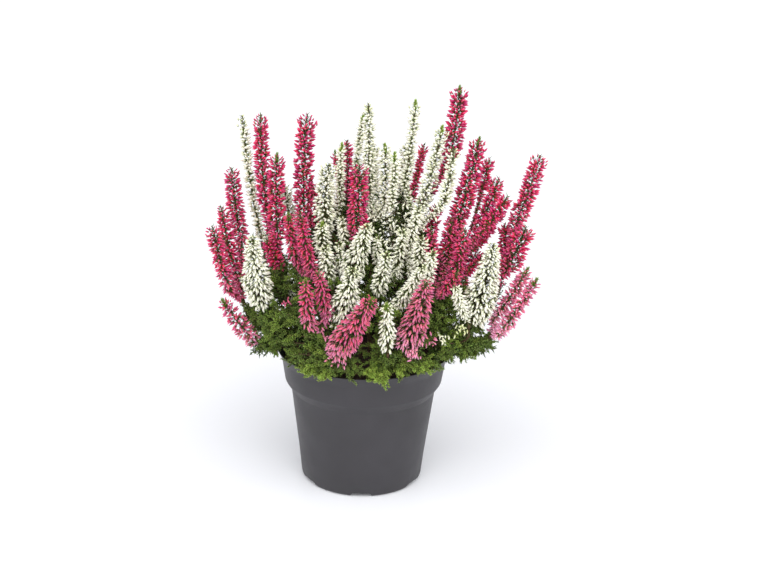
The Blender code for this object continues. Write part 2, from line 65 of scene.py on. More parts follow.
def make_camera():
    """The camera stands before the pot and looks down at AIM. The lens turns the focal length in
    pixels into millimetres of the sensor."""
    data = bpy.data.cameras.new("camera")
    data.sensor_width = SENSOR
    data.lens = FOCAL_PIXELS / PHOTO_WIDTH * SENSOR
    data.clip_start, data.clip_end = NEAREST, FARTHEST
    camera = bpy.data.objects.new("camera", data)
    bpy.context.scene.collection.objects.link(camera)
    tilt = math.radians(CAMERA_TILT)
    place = Vector((0.0, -CAMERA_DISTANCE * math.cos(tilt),
                    CAMERA_DISTANCE * math.sin(tilt) + CAMERA_LIFT)) * MM
    aim = Vector(AIM) * MM
    turn = (aim - place).to_track_quat("-Z", "Y").to_matrix().to_4x4()
    roll = Matrix.Rotation(math.radians(CAMERA_ROLL), 4, "Z")
    camera.matrix_world = Matrix.Translation(place) @ turn @ roll
    bpy.context.scene.camera = camera
    return camera


camera = make_camera()
print("camera at", tuple(round(v, 3) for v in camera.location), "lens", round(camera.data.lens, 1))

# %% [markdown]
# ## Small tools for curves and meshes
# A plant is one shape a few thousand times over. Making an object for each bud would be slow and
# would leave thousands of pieces, so every bud, leaf and stalk of a spray is worked out at once as
# arrays and poured into one mesh. These helpers hold the arithmetic: curves, directions, tubes
# along curves, and copies of a small template shape.


# %% Curves and directions
def unit(vector):
    """Divide each vector by its own length."""
    vector = np.asarray(vector, float)
    return vector / np.maximum(np.linalg.norm(vector, axis=-1, keepdims=True), 1e-9)


def smooth(x):
    """A gentle step: 3x squared less 2x cubed, held between 0 and 1."""
    x = np.clip(x, 0.0, 1.0)
    return x * x * (3 - 2 * x)


def bezier(start, control, end, t):
    """Quadratic curve: the start, control and end points in the shares (1-t)^2, 2t(1-t) and t^2.

    The points may be single or one row for each of many curves, which gives a grid of points."""
    start, control, end = (np.asarray(p, float)[..., None, :] for p in (start, control, end))
    t = np.asarray(t, float)[..., :, None]
    return (1 - t) ** 2 * start + 2 * t * (1 - t) * control + t ** 2 * end


def square_axes(tangent):
    """Two unit vectors square to each tangent, from its cross product with a steady direction."""
    level = np.abs(tangent[..., 2:3]) < 0.8
    reference = np.where(level, (0.0, 0.0, 1.0), (0.0, 1.0, 0.0))
    across = unit(np.cross(tangent, reference))
    return across, np.cross(tangent, across)


def around(across, over, angle):
    """Directions round an axis: cos(angle) across + sin(angle) over."""
    angle = np.asarray(angle)[..., None]
    return np.cos(angle) * across + np.sin(angle) * over


def along_path(path, distance):
    """The point at each distance along a path, in straight steps, and the path's length."""
    steps = np.linalg.norm(np.diff(path, axis=0), axis=1)
    length = np.append(0.0, np.cumsum(steps))
    return np.stack([np.interp(distance, length, path[:, k]) for k in range(3)], -1), length[-1]


print("the middle of a quarter arch:", bezier((0, 0, 0), (0, 0, 1), (1, 0, 1), [0.5])[0])


# %% Faces of round shapes
def ring_faces(rows, sides):
    """Triangles of a closed round shape: two for each step round and up, and a fan at each end.

    The points are rows of rings, then the middle of the lower end, then that of the upper."""
    side = np.arange(sides)
    after = (side + 1) % sides
    low = (np.arange(rows - 1) * sides)[:, None]
    a, b, c, d = low + side, low + after, low + sides + after, low + sides + side
    top = (rows - 1) * sides
    return np.concatenate([
        np.stack([a, b, c], -1).reshape(-1, 3), np.stack([a, c, d], -1).reshape(-1, 3),
        np.stack([after, side, np.full(sides, rows * sides)], -1),
        np.stack([top + side, top + after, np.full(sides, rows * sides + 1)], -1)])


print("a stalk of four rings with five sides has", len(ring_faces(4, 5)), "triangles")


# %% Tubes along many curves at once
END_CAP = 0.4


def stalks(paths, radii, sides):
    """Round stems: at each point of each path a ring, radius times (cos a across + sin a over).

    paths is (stems, points, 3) and radii (stems, points). Both ends close in a point."""
    stems, rows, _ = paths.shape
    tangent = unit(np.gradient(paths, axis=1))
    across, over = square_axes(tangent)
    angle = np.arange(sides) * math.tau / sides
    circle = around(across[:, :, None], over[:, :, None], angle)
    rings = paths[:, :, None] + radii[:, :, None, None] * circle
    first = paths[:, 0] - tangent[:, 0] * radii[:, :1] * END_CAP
    last = paths[:, -1] + tangent[:, -1] * radii[:, -1:] * END_CAP
    points = np.concatenate([rings.reshape(stems, -1, 3), first[:, None], last[:, None]], axis=1)
    faces = ring_faces(rows, sides) + (rows * sides + 2) * np.arange(stems)[:, None, None]
    along = np.append(np.repeat(np.linspace(0, 1, rows), sides), (0.0, 1.0))
    return points.reshape(-1, 3), faces.reshape(-1, 3), np.tile(along, stems)


straight = stalks(np.array([[(0, 0, 0), (0, 0, 9.2)]]), np.ones((1, 2)), 5)[0]
print("a stalk 9.2 mm long and 2 mm thick is", np.ptp(straight[:, 2]), "mm long with its caps")


# %% [markdown]
# ## Templates of a bud and a leaf
# A closed heather bud is a plump spindle, and a scale leaf a short wedge. Each could have hundreds
# of faces, but here thousands of them stand a few pixels wide. So a bud has two rings of four
# points and a leaf only four faces, and their number and their many directions do the rest.


# %% Template shapes and their copies
def spindle(heights, radii, sides, bend=0.0):
    """A turned shape one unit tall: rings of the given radii, closed by a point at both ends.

    Its axis leans towards +X by bend times the height squared."""
    angle = np.arange(sides) * math.tau / sides
    circle = np.stack([np.cos(angle), np.sin(angle), 0 * angle], -1)
    middle = np.stack([0 * heights, 0 * heights, heights], -1)
    rings = radii[:, None, None] * circle + middle[:, None]
    points = np.concatenate([rings.reshape(-1, 3), [[0, 0, 0], [0, 0, 1]]])
    points[:, 0] += bend * points[:, 2] ** 2
    return points, ring_faces(len(radii), sides), points[:, 2].copy()


def copies(shape, places, frames, sizes):
    """Copies of a template: each point is scaled by its copy's sizes, turned by the copy's three
    axes and moved to its place. frames is (copies, 3 axes, 3) and sizes (copies, 3)."""
    points, faces, along = shape
    world = places[:, None] + np.einsum("nvk,nkc->nvc", points[None] * sizes[:, None], frames)
    step = len(points) * np.arange(len(places))[:, None, None]
    return world.reshape(-1, 3), (faces + step).reshape(-1, 3), np.tile(along, len(places))


def frames_towards(direction, up):
    """Right-handed axes whose Z is the direction and whose X leans as far as it can towards up."""
    z = unit(direction)
    x = unit(up - z * np.sum(up * z, axis=-1, keepdims=True))
    return np.stack([x, np.cross(z, x), z], axis=-2)


BUD_SHAPE = spindle(np.array([0.26, 0.62]), np.array([0.46, 0.42]), 4, bend=0.12)
print("a bud has", len(BUD_SHAPE[1]), "triangles")

# %% Leaves, and thin stalks of the same shape
LEAF_SHAPE = (np.array([[-0.5, 0, 0], [0.5, 0, 0], [0, 0.45, 0.1], [0, 0.05, 1]], float),
              np.array([[0, 1, 3], [1, 2, 3], [2, 0, 3], [0, 2, 1]]),
              np.array([0, 0, 0.2, 1.0]))


def slivers(start, end, thick):
    """Thin pointed stalks, each one sliver of four faces that runs from its start to its end."""
    way = end - start
    long = np.linalg.norm(way, axis=-1)
    across, over = square_axes(unit(way))
    frames = np.stack([across, np.cross(unit(way), across), unit(way)], axis=1)
    wide = np.full(len(long), thick)
    return copies(LEAF_SHAPE, start, frames, np.stack([wide, wide, long], -1))


def scale_leaves(places, heading, side, long, wide, thick):
    """Copies of the leaf template that point along their headings with their backs to the side.
    wide and thick are shares of each leaf's length."""
    frames = frames_towards(heading, side)
    frames = np.stack([frames[:, 1], -frames[:, 0], frames[:, 2]], axis=1)
    return copies(LEAF_SHAPE, places, frames, np.stack([wide * long, thick * long, long], -1))


print("a leaf has", len(LEAF_SHAPE[1]), "triangles")


# %% One mesh from many shapes
class Heap:
    """Gathers shapes into one mesh. Every point carries a mark of three numbers, which the
    finishes read as a colour attribute: place along its own shape, a random tint, and paleness."""

    def __init__(self):
        self.points, self.faces, self.marks, self.kinds, self.count = [], [], [], [], 0

    def add(self, shape, tint=0.5, pale=0.0, kind=0):
        """Pour in a shape or many copies of one. tint and pale are single values or one for each
        copy, and kind is the number of the finish."""
        points, faces, along = shape
        self.points.append(points)
        self.faces.append(faces + self.count)
        self.kinds.append(np.full(len(faces), kind))
        each = [np.repeat(value, len(points) // np.size(value)) for value in (tint, pale)]
        self.marks.append(np.stack([along, *each, np.ones(len(points))], -1))
        self.count += len(points)

    def triangles(self):
        """How many faces the heap holds."""
        return sum(len(faces) for faces in self.faces)

    def mesh(self, name):
        """All shapes as one mesh with the marks on its points."""
        mesh = new_mesh(name, np.concatenate(self.points), np.concatenate(self.faces))
        marks = mesh.attributes.new("mark", "FLOAT_COLOR", "POINT")
        marks.data.foreach_set("color", np.concatenate(self.marks).ravel())
        kinds = np.concatenate(self.kinds).astype(np.int32)
        mesh.polygons.foreach_set("material_index", kinds)
        return mesh


def new_mesh(name, points, faces):
    """A mesh from an array of points in millimetres and one of triangles or quads."""
    mesh = bpy.data.meshes.new(name)
    mesh.vertices.add(len(points))
    mesh.vertices.foreach_set("co", (np.asarray(points) * MM).ravel())
    mesh.loops.add(faces.size)
    mesh.loops.foreach_set("vertex_index", faces.ravel())
    mesh.polygons.add(len(faces))
    mesh.polygons.foreach_set("loop_start", np.arange(len(faces)) * faces.shape[1])
    mesh.update(calc_edges=True)
    mesh.shade_smooth()
    return mesh


def dress(name, mesh, finishes, nodes):
    """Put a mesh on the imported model: it rides on the body and stands for these nodes."""
    piece = bpy.data.objects.new(name, mesh)
    bpy.context.scene.collection.objects.link(piece)
    for finish in finishes:
        mesh.materials.append(finish)
    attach(piece, "root")
    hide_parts(*nodes)
    return piece


sample = Heap()
sample.add(BUD_SHAPE)
print("a heap of one bud holds", sample.triangles(), "triangles")

# %% [markdown]
# ## Finishes
# Every finish is a Principled shader with a pattern behind it. One node group, the mottle, gives
# a soft cloudy value in the piece's own coordinates. The plastic uses it for its grain, the peat
# for its crumbs and the petals for their blotches, each with its own scale and range.


# %% Node helpers
NOISE_LOW, NOISE_HIGH = 0.3, 0.7


def srgb(red, green, blue):
    """A screen colour, 0 to 255, as the light values that Blender works in."""
    def light(level):
        """Levels near black are divided by 12.92, the others follow a power of 2.4."""
        level /= 255
        return level / 12.92 if level <= 0.04045 else ((level + 0.055) / 1.055) ** 2.4
    return (light(red), light(green), light(blue), 1.0)


def fill(tree, node, inputs):
    """Set each named socket of a node, or link it where the value is a socket itself."""
    for socket, value in inputs.items():
        if isinstance(value, bpy.types.NodeSocket):
            tree.links.new(value, node.inputs[socket])
        else:
            node.inputs[socket].default_value = value


def put(tree, kind, settings=(), inputs=()):
    """Add a node, set its own fields, and fill its sockets."""
    made = tree.nodes.new(kind)
    for field, value in dict(settings).items():
        setattr(made, field, value)
    fill(tree, made, dict(inputs))
    return made


def mixed(tree, factor, a, b):
    """Two colours mixed by a factor."""
    return put(tree, "ShaderNodeMix", {"data_type": "RGBA"}, {0: factor, 6: a, 7: b}).outputs[2]


def ranged(tree, value, low, high, start=0.0, end=1.0):
    """A value that runs from start to end, spread over low to high."""
    return put(tree, "ShaderNodeMapRange", (), {
        "Value": value, "From Min": start, "From Max": end,
        "To Min": low, "To Max": high}).outputs[0]


def shifted(tree, colour, value, hue=0.5):
    """A colour with its brightness times a value and its hue turned, where 0.5 is no turn."""
    return put(tree, "ShaderNodeHueSaturation", (),
               {"Hue": hue, "Value": value, "Color": colour}).outputs["Color"]


def new_finish(name):
    """A new material, its node tree and its Principled shader."""
    made = bpy.data.materials.new(name)
    made.use_nodes = True
    return made, made.node_tree, made.node_tree.nodes["Principled BSDF"]


def bumped(tree, height, distance, strength=1.0):
    """The normal of a surface that is raised by a height map."""
    return put(tree, "ShaderNodeBump", (), {
        "Height": height, "Distance": distance, "Strength": strength}).outputs["Normal"]


print("a screen grey of 128 is", round(srgb(128, 128, 128)[0], 3), "as light")


# %% The mottle, and the marks of the heap
def make_mottle():
    """The shared group: cloudy noise in object coordinates, spread between two values."""
    group = bpy.data.node_groups.new("mottle", "ShaderNodeTree")
    for name, start in (("Scale", 100.0), ("Detail", 2.0), ("Low", 0.0), ("High", 1.0)):
        socket = group.interface.new_socket(name, in_out="INPUT", socket_type="NodeSocketFloat")
        socket.default_value = start
    group.interface.new_socket("Value", in_out="OUTPUT", socket_type="NodeSocketFloat")
    given = group.nodes.new("NodeGroupInput").outputs
    result = group.nodes.new("NodeGroupOutput")
    place = put(group, "ShaderNodeTexCoord").outputs["Object"]
    noise = put(group, "ShaderNodeTexNoise", (), {
        "Vector": place, "Scale": given["Scale"], "Detail": given["Detail"]}).outputs["Fac"]
    spread = ranged(group, noise, given["Low"], given["High"], NOISE_LOW, NOISE_HIGH)
    fill(group, result, {"Value": spread})
    return group


MOTTLE = make_mottle()


def mottled(tree, scale, low=0.0, high=1.0, detail=2.0):
    """A mottle in a material, with its own scale and range."""
    return put(tree, "ShaderNodeGroup", {"node_tree": MOTTLE}, {
        "Scale": scale, "Detail": detail, "Low": low, "High": high}).outputs["Value"]


def read_marks(tree):
    """The three numbers that the heap gave to each point."""
    mark = put(tree, "ShaderNodeAttribute", {"attribute_name": "mark"}).outputs["Color"]
    return put(tree, "ShaderNodeSeparateColor", (), {"Color": mark}).outputs


print("mottle group with", len(MOTTLE.nodes), "nodes")

# %% [markdown]
# ## Petal, leaf and bark
# A heather bud is drawn darkest at its foot and lightest at its tip: partly the bud's own colour,
# partly a painted shade at the foot, where the buds crowd, and a painted highlight at the tip. So
# the petal finish runs through a few colours along each bud, then goes towards a paler set of
# colours where the plant is older.
# The random tint makes each bud a little lighter or darker than its neighbour.


# %% Petals
def ramp(tree, value, colours):
    """Screen colours at even steps along a value, blended between."""
    made = put(tree, "ShaderNodeValToRGB", (), {"Fac": value})
    stops = made.color_ramp.elements
    while len(stops) < len(colours):
        stops.new(0.5)
    for number, colour in enumerate(colours):
        stops[number].position = number / (len(colours) - 1)
        stops[number].color = srgb(*colour)
    return made.outputs["Color"]


def tinted(tree, colour, tint, low, high, hue=0.0):
    """A colour made darker or lighter by each shape's tint, and turned a little in hue."""
    return shifted(tree, colour, ranged(tree, tint, low, high),
                   ranged(tree, tint, 0.5 - hue, 0.5 + hue))


def make_petal(name, fresh, pale, low, high, hue):
    """Fresh and pale colours run along the bud, mixed by its age: darker at the foot, partly a
    painted shade, and lighter at the tip, partly a painted highlight. Tint and blotches vary them.
    """
    finish, tree, shader = new_finish(name)
    along, tint, age = read_marks(tree)
    colour = mixed(tree, age, ramp(tree, along, fresh), ramp(tree, along, pale))
    colour = tinted(tree, colour, tint, low, high, hue)
    colour = shifted(tree, colour, mottled(tree, 1400.0, 0.88, 1.1))
    fill(tree, shader, {"Base Color": colour, "Roughness": 0.5, "Specular IOR Level": 0.35})
    return finish


# The first colour of each run is partly a painted shade at the bud's foot, the last partly a painted
# highlight at its tip
red_petal = make_petal(
    "red_petal",
    ((116, 18, 50), (196, 24, 80), (220, 48, 108), (240, 116, 164)),
    ((214, 158, 132), (238, 148, 172), (240, 158, 194), (250, 210, 220)),
    0.72, 1.15, 0.012)
white_petal = make_petal(
    "white_petal",
    ((186, 194, 132), (246, 246, 224), (254, 252, 236), (255, 254, 243)),
    ((110, 130, 55), (196, 206, 120), (228, 232, 172), (242, 242, 204)),
    0.9, 1.05, 0.006)
print("finishes:", red_petal.name, white_petal.name)


# %% Leaves and bark
def make_leaf():
    """Leaves grow lighter towards their tips, and fresh ones are yellower than old ones. The dark,
    old end of the freshness mark is also a painted shade in the crown and inside the cushion.
    """
    finish, tree, shader = new_finish("leaf")
    along, tint, fresh = read_marks(tree)
    # The old colours also serve as painted shade for the crown, the depths and the cushion's inside
    old_and_shaded = ramp(tree, along, ((44, 56, 24), (74, 96, 38), (112, 132, 60)))
    young = ramp(tree, along, ((112, 142, 50), (162, 192, 72), (196, 216, 102)))
    colour = tinted(tree, mixed(tree, fresh, old_and_shaded, young), tint, 0.7, 1.2, 0.015)
    fill(tree, shader, {"Base Color": colour, "Roughness": mottled(tree, 900.0, 0.42, 0.62),
                        "Specular IOR Level": 0.4})
    return finish


def make_bark():
    """Brown wood below turns to green shoots above, both cloudy and a little rough."""
    finish, tree, shader = new_finish("bark")
    along, tint, green = read_marks(tree)
    wood = mixed(tree, mottled(tree, 700.0), srgb(58, 38, 26), srgb(112, 78, 54))
    shoot = mixed(tree, mottled(tree, 900.0), srgb(70, 78, 40), srgb(104, 96, 58))
    fill(tree, shader, {
        "Base Color": tinted(tree, mixed(tree, green, wood, shoot), tint, 0.8, 1.15),
        "Roughness": 0.75, "Normal": bumped(tree, mottled(tree, 1600.0, detail=3.0), 0.0003)})
    return finish


leaf = make_leaf()
bark = make_bark()
print("finishes:", leaf.name, bark.name)

# %% [markdown]
# ## Where the plant stands
# The sprays, their forks and the stems below them follow the same rules as the solids, so the fine
# plant stands where the imported one does. The sprays in the photograph are listed one by one, and
# each spike is a base, a tip, a half width and a taper. Those at the back come from a seeded rule.

# %% The sprays
SPRAYS = {
    "red_left": [
        ((-90, 5, 141), (-104, 10, 201), 5.5, 0.35),
        ((-96, -12, 146), (-108, -14, 194), 5.9, 0.3),
        ((-90, 16, 172), (-97, 22, 226), 6.3, 0.35)],
    "red_left_low": [((-79, -23, 112), (-100, -30, 145), 6.6, 0.45)],
    "red_left_tall": [
        ((-72, 18, 196), (-77, 30, 264), 5.9, 0.4),
        ((-63, 2, 182), (-64, 10, 240), 6.6, 0.45),
        ((-62, 0, 159), (-71, 0, 180), 5.5, 0.4)],
    "red_back_tall": [
        ((-45, 16, 193), (-44, 30, 265), 7.0, 0.3),
        ((-18, 26, 210), (-24, 34, 236), 3.6, 0.3)],
    "red_left_front": [
        ((-48, -18, 169), (-54, -28, 208), 5.2, 0.4),
        ((-37, -30, 167), (-46, -42, 214), 5.2, 0.4)],
    "red_front_pair": [
        ((-38, -62, 140), (-40, -75, 177), 5.2, 0.3),
        ((-25, -58, 146), (-32, -72, 182), 5.2, 0.3)],
    "red_middle": [((-6, -14, 188), (-6, -14, 241), 7.0, 0.25)],
    "red_crown": [
        ((32, 32, 205), (40, 44, 241), 3.6, 0.3),
        ((58, 20, 239), (63, 28, 287), 7.0, 0.4)],
    "red_right_tall": [
        ((63, -2, 196), (77, 6, 256), 7.4, 0.4),
        ((81, 18, 214), (86, 24, 237), 4.4, 0.4),
        ((79, 1, 191), (92, 6, 228), 5.9, 0.4),
        ((82, -9, 194), (98, -9, 219), 5.2, 0.3),
        ((82, 12, 180), (97, 18, 201), 4.4, 0.3),
        ((68, -5, 157), (85, 5, 171), 4.1, 0.3),
        ((80, 8, 176), (91, 20, 187), 3.7, 0.3)],
    "red_right_outer": [
        ((106, 5, 195), (121, 14, 243), 6.6, 0.35),
        ((100, -12, 167), (112, -8, 197), 8.1, 0.3),
        ((99, 2, 168), (98, 10, 193), 5.2, 0.3)],
    "red_right_low": [
        ((91, -32, 136), (112, -35, 175), 5.2, 0.3),
        ((94, -42, 128), (117, -48, 172), 5.2, 0.3)],
    "red_right_front": [
        ((45, -20, 168), (44, -22, 199), 5.5, 0.4),
        ((56, -12, 170), (59, -8, 202), 5.9, 0.4),
        ((60, -28, 155), (68, -25, 200), 5.9, 0.4),
        ((52, -38, 155), (63, -45, 174), 4.4, 0.3)],
    "red_front_right": [((30, -60, 126), (41, -78, 180), 9.2, 0.55)],
    "red_front_left": [((-18, -68, 123), (5, -95, 172), 9.2, 0.5)],
    "white_left_tall": [((-77, 24, 177), (-91, 38, 261), 4.4, 0.3)],
    "white_left_low": [
        ((-73, -30, 146), (-78, -40, 196), 9.6, 0.75),
        ((-75, -24, 143), (-87, -30, 162), 2.9, 0.3)],
    "white_left_inner": [
        ((-19, 12, 203), (-19, 18, 246), 3.7, 0.3),
        ((-30, -4, 195), (-27, 0, 237), 7.7, 0.5)],
    "white_middle_low": [
        ((-30, -18, 178), (-31, -18, 199), 6.6, 0.5),
        ((-26, -28, 160), (-28, -32, 187), 5.9, 0.4),
        ((-17, -21, 166), (-19, -22, 187), 4.1, 0.3),
        ((-16, -12, 184), (-18, -8, 201), 4.4, 0.3)],
    "white_crown": [
        ((-9, 22, 227), (-4, 30, 265), 3.7, 0.3),
        ((1, 6, 216), (-1, 12, 278), 5.2, 0.5),
        ((12, 2, 210), (11, 8, 249), 5.2, 0.4),
        ((17, -8, 210), (18, -6, 247), 4.4, 0.4)],
    "white_right_tall": [
        ((26, 12, 219), (32, 24, 277), 4.8, 0.45),
        ((36, 0, 199), (51, 8, 263), 5.9, 0.5),
        ((53, -8, 211), (59, -2, 251), 5.2, 0.4)],
    "white_right_low": [
        ((77, -38, 140), (87, -38, 194), 11.0, 0.8),
        ((67, -48, 146), (60, -58, 169), 4.4, 0.3)],
    "white_middle_right": [
        ((29, -20, 185), (36, -20, 214), 5.2, 0.4),
        ((36, -34, 165), (37, -42, 199), 5.9, 0.4),
        ((41, -44, 164), (45, -55, 193), 4.8, 0.4)],
    "white_middle": [
        ((21, -25, 164), (25, -30, 200), 5.2, 0.4),
        ((9, -42, 158), (14, -52, 190), 5.9, 0.4),
        ((8, -28, 174), (8, -32, 195), 3.7, 0.3)],
    "white_front_left": [
        ((-10, -35, 167), (1, -48, 208), 8.1, 0.5),
        ((-16, -55, 140), (-8, -72, 185), 9.2, 0.5)],
    "white_front_low": [((16, -68, 127), (14, -88, 166), 5.2, 0.3)],
    "white_front_slant": [((21, -48, 147), (39, -66, 186), 5.2, 0.4)],
}

# The unseen back: each spray's direction round the pot, in degrees from +X, and its spikes
BACK_SPRAYS = {
    "red_rear_1": (27, 2), "red_rear_2": (46, 2), "white_rear_1": (66, 3),
    "white_rear_2": (86, 3), "red_rear_3": (106, 3), "red_rear_4": (126, 2),
    "white_rear_3": (145, 2),
}
# Base radius, base height, tip radius, tip height, half width of those spikes, from the lowest
BACK_LAYERS = ((66, 122, 90, 166, 6.6), (58, 150, 75, 198, 6.2), (46, 184, 58, 236, 5.6))
BACK_TAPER = 0.4

# Each branch stands in the soil and carries the sprays that are named
BRANCHES = {
    "red_a": ("red_left", "red_left_low"),
    "red_b": ("red_left_tall",),
    "red_c": ("red_back_tall", "red_left_front"),
    "red_d": ("red_front_pair",),
    "red_e": ("red_middle", "red_crown"),
    "red_f": ("red_right_tall",),
    "red_g": ("red_right_outer", "red_right_low"),
    "red_h": ("red_right_front",),
    "red_i": ("red_front_right",),
    "red_j": ("red_front_left",),
    "red_k": ("red_rear_1", "red_rear_2"),
    "red_l": ("red_rear_3", "red_rear_4"),
    "white_a": ("white_left_tall",),
    "white_b": ("white_left_low",),
    "white_c": ("white_left_inner", "white_middle_low"),
    "white_d": ("white_crown",),
    "white_e": ("white_right_tall",),
    "white_f": ("white_right_low",),
    "white_g": ("white_middle_right", "white_middle"),
    "white_h": ("white_front_left",),
    "white_i": ("white_front_low", "white_front_slant"),
    "white_j": ("white_rear_1", "white_rear_2"),
    "white_k": ("white_rear_3",),
}

print(len(SPRAYS), "sprays in the photograph and", len(BACK_SPRAYS), "behind them")

# %% Pot sizes, from which soil, stems and leaves keep clear
POT_HEIGHT, RIM_RADIUS = 100.0, 63.0
LIP_RADIUS, LIP_BOTTOM = 59.6, 93.0
COLLAR_RADIUS, COLLAR_BOTTOM = 57.1, 76.5
STEP_RADIUS, STEP_HEIGHT = 52.5, 69.5
FOOT_RADIUS, FOOT_ROUND = 44.0, 3.2
WALL, FLOOR = 1.4, 4.2


def outer_wall(height):
    """The pot's outer radius at a height, in straight lines between its steps."""
    heights = (FOOT_ROUND, STEP_HEIGHT, COLLAR_BOTTOM, LIP_BOTTOM, POT_HEIGHT)
    radii = (FOOT_RADIUS, STEP_RADIUS, COLLAR_RADIUS, LIP_RADIUS, RIM_RADIUS)
    return np.interp(height, heights, radii)


print("the pot is", 2 * RIM_RADIUS, "mm across and", POT_HEIGHT, "mm high")

# %% The sprays at the back
SEED = 7


def back_sprays():
    """The unseen sprays: spikes one above another at each direction, each turned a little and
    raised a little by seeded chance, as the solids' are."""
    chance = random.Random(SEED)
    made = {}
    for name, (degrees, count) in BACK_SPRAYS.items():
        spikes = []
        for low_radius, low, high_radius, high, half in BACK_LAYERS[:count]:
            turn = math.radians(degrees + chance.uniform(-3, 3))
            end = turn + math.radians(chance.uniform(-3, 3))
            rise = chance.uniform(-6, 6)
            base = (low_radius * math.cos(turn), low_radius * math.sin(turn), low + rise)
            tip = (high_radius * math.cos(end), high_radius * math.sin(end),
                   high + rise + chance.uniform(-4, 8))
            spikes.append((base, tip, half, BACK_TAPER))
        made[name] = spikes
    return made


sprays = {**SPRAYS, **back_sprays()}
print(len(sprays), "sprays with", sum(map(len, sprays.values())), "spikes")

# %% Spikes, forks and stalks
BOW = 0.04
FORK_DROP, FORK_SPREAD = 5.0, 0.85
KNUCKLE_LENGTH = 3.2


def spike_path(base, tip, t):
    """A spike's curve: its middle is pushed out from the pot's axis by a share of its length."""
    base, tip = np.asarray(base, float), np.asarray(tip, float)
    outwards = unit(np.array([base[0], base[1], 0.0]) + 1e-6)
    bow = BOW * np.linalg.norm(tip - base) * outwards
    return bezier(base, (base + tip) / 2 + bow, tip, t)


def fork_of(spikes):
    """The place below a spray's spikes where their stalks part, and the way they leave it."""
    bases = np.array([spike[0] for spike in spikes], float)
    tips = np.array([spike[1] for spike in spikes], float)
    way = unit(np.mean(unit(tips - bases), axis=0))
    reach = np.max(np.linalg.norm(bases - bases.mean(axis=0), axis=1))
    return bases.mean(axis=0) - way * (FORK_DROP + FORK_SPREAD * reach), way


def stalk_path(fork, way, base, tip, start, t):
    """A stalk leaves the fork, or a place a little past it, and runs up to its spike. Its middle
    point lies between those that carry both ends' directions on by half the distance."""
    heading = unit(np.subtract(tip, base))
    first = fork + way * start
    reach = 0.5 * np.linalg.norm(base - first)
    control = (first + way * reach + np.asarray(base) - heading * reach) / 2
    return bezier(first, control, base, t)


print("the middle spray forks at", fork_of(SPRAYS["white_middle"])[0].round(1))

# %% Roots and stems
GAP = 0.3
SOIL_TOP, SOIL_CROWN = 88.0, 1.2
TRUNK_RISE, HOLE_DEPTH = 5.0, 11.0
STEM_RADIUS, STEM_FOOT, STEM_PULL, STRAIGHT_END = 1.1, 2.5, 0.42, 4.0
RIM_ARCH, ARCH_SHARE = 16.0, 0.3
ROOT_SHARE, ROOT_LIMIT, ROOT_SPACING, ROOT_ROUNDS = 0.38, 40.0, 11.0, 60


def place_roots(branches):
    """Each branch stands at a share of the way out to the mean of its sprays' forks. In each of
    some rounds, roots that are too close move apart by half of what they lack, and those too far
    out come back to the limit."""
    places = np.array([
        ROOT_SHARE * np.mean([fork_of(spikes)[0][:2] for spikes in group], axis=0)
        for group in branches])
    for _ in range(ROOT_ROUNDS):
        apart = places[:, None] - places[None]
        distance = np.linalg.norm(apart, axis=2) + np.eye(len(places)) * 1e6
        short = np.clip(ROOT_SPACING - distance, 0.0, None)
        places += 0.5 * (apart / distance[..., None] * short[..., None]).sum(axis=1)
        reach = np.linalg.norm(places, axis=1)
        places *= np.minimum(1.0, ROOT_LIMIT / reach)[:, None]
    return places


def stem_path(root, fork, way, t):
    """A stem climbs out of its trunk and arches over the rim to its spray's fork. The curve's
    control point lies back from the fork along its own direction, and high enough to arch."""
    start = np.array([*root, SOIL_TOP + TRUNK_RISE - STEM_FOOT])
    end = fork - way * (GAP + STEM_RADIUS)
    join = end - way * STRAIGHT_END
    reach = np.linalg.norm(join - start)
    control = join - way * STEM_PULL * reach
    overhang = max(0.0, np.linalg.norm(control[:2]) - ROOT_LIMIT)
    control[2] = max(control[2], SOIL_TOP + RIM_ARCH + ARCH_SHARE * overhang)
    return np.vstack([bezier(start, control, join, t), end])


roots = place_roots([[sprays[spray] for spray in names] for names in BRANCHES.values()])
print(len(roots), "roots, the outermost", round(float(np.hypot(*roots.T).max()), 1), "mm out")

# %% [markdown]
# ## Flower spikes
# A spike is a thin woody axis with some hundred small buds on short stalks. The buds could be
# scattered at random, but a plant spaces them: each bud is turned by the golden angle from the one
# below it, which never lines two up. Upright spikes hold their buds up and out. The lower ones
# have heavier, older buds that nod back towards the stem's foot.

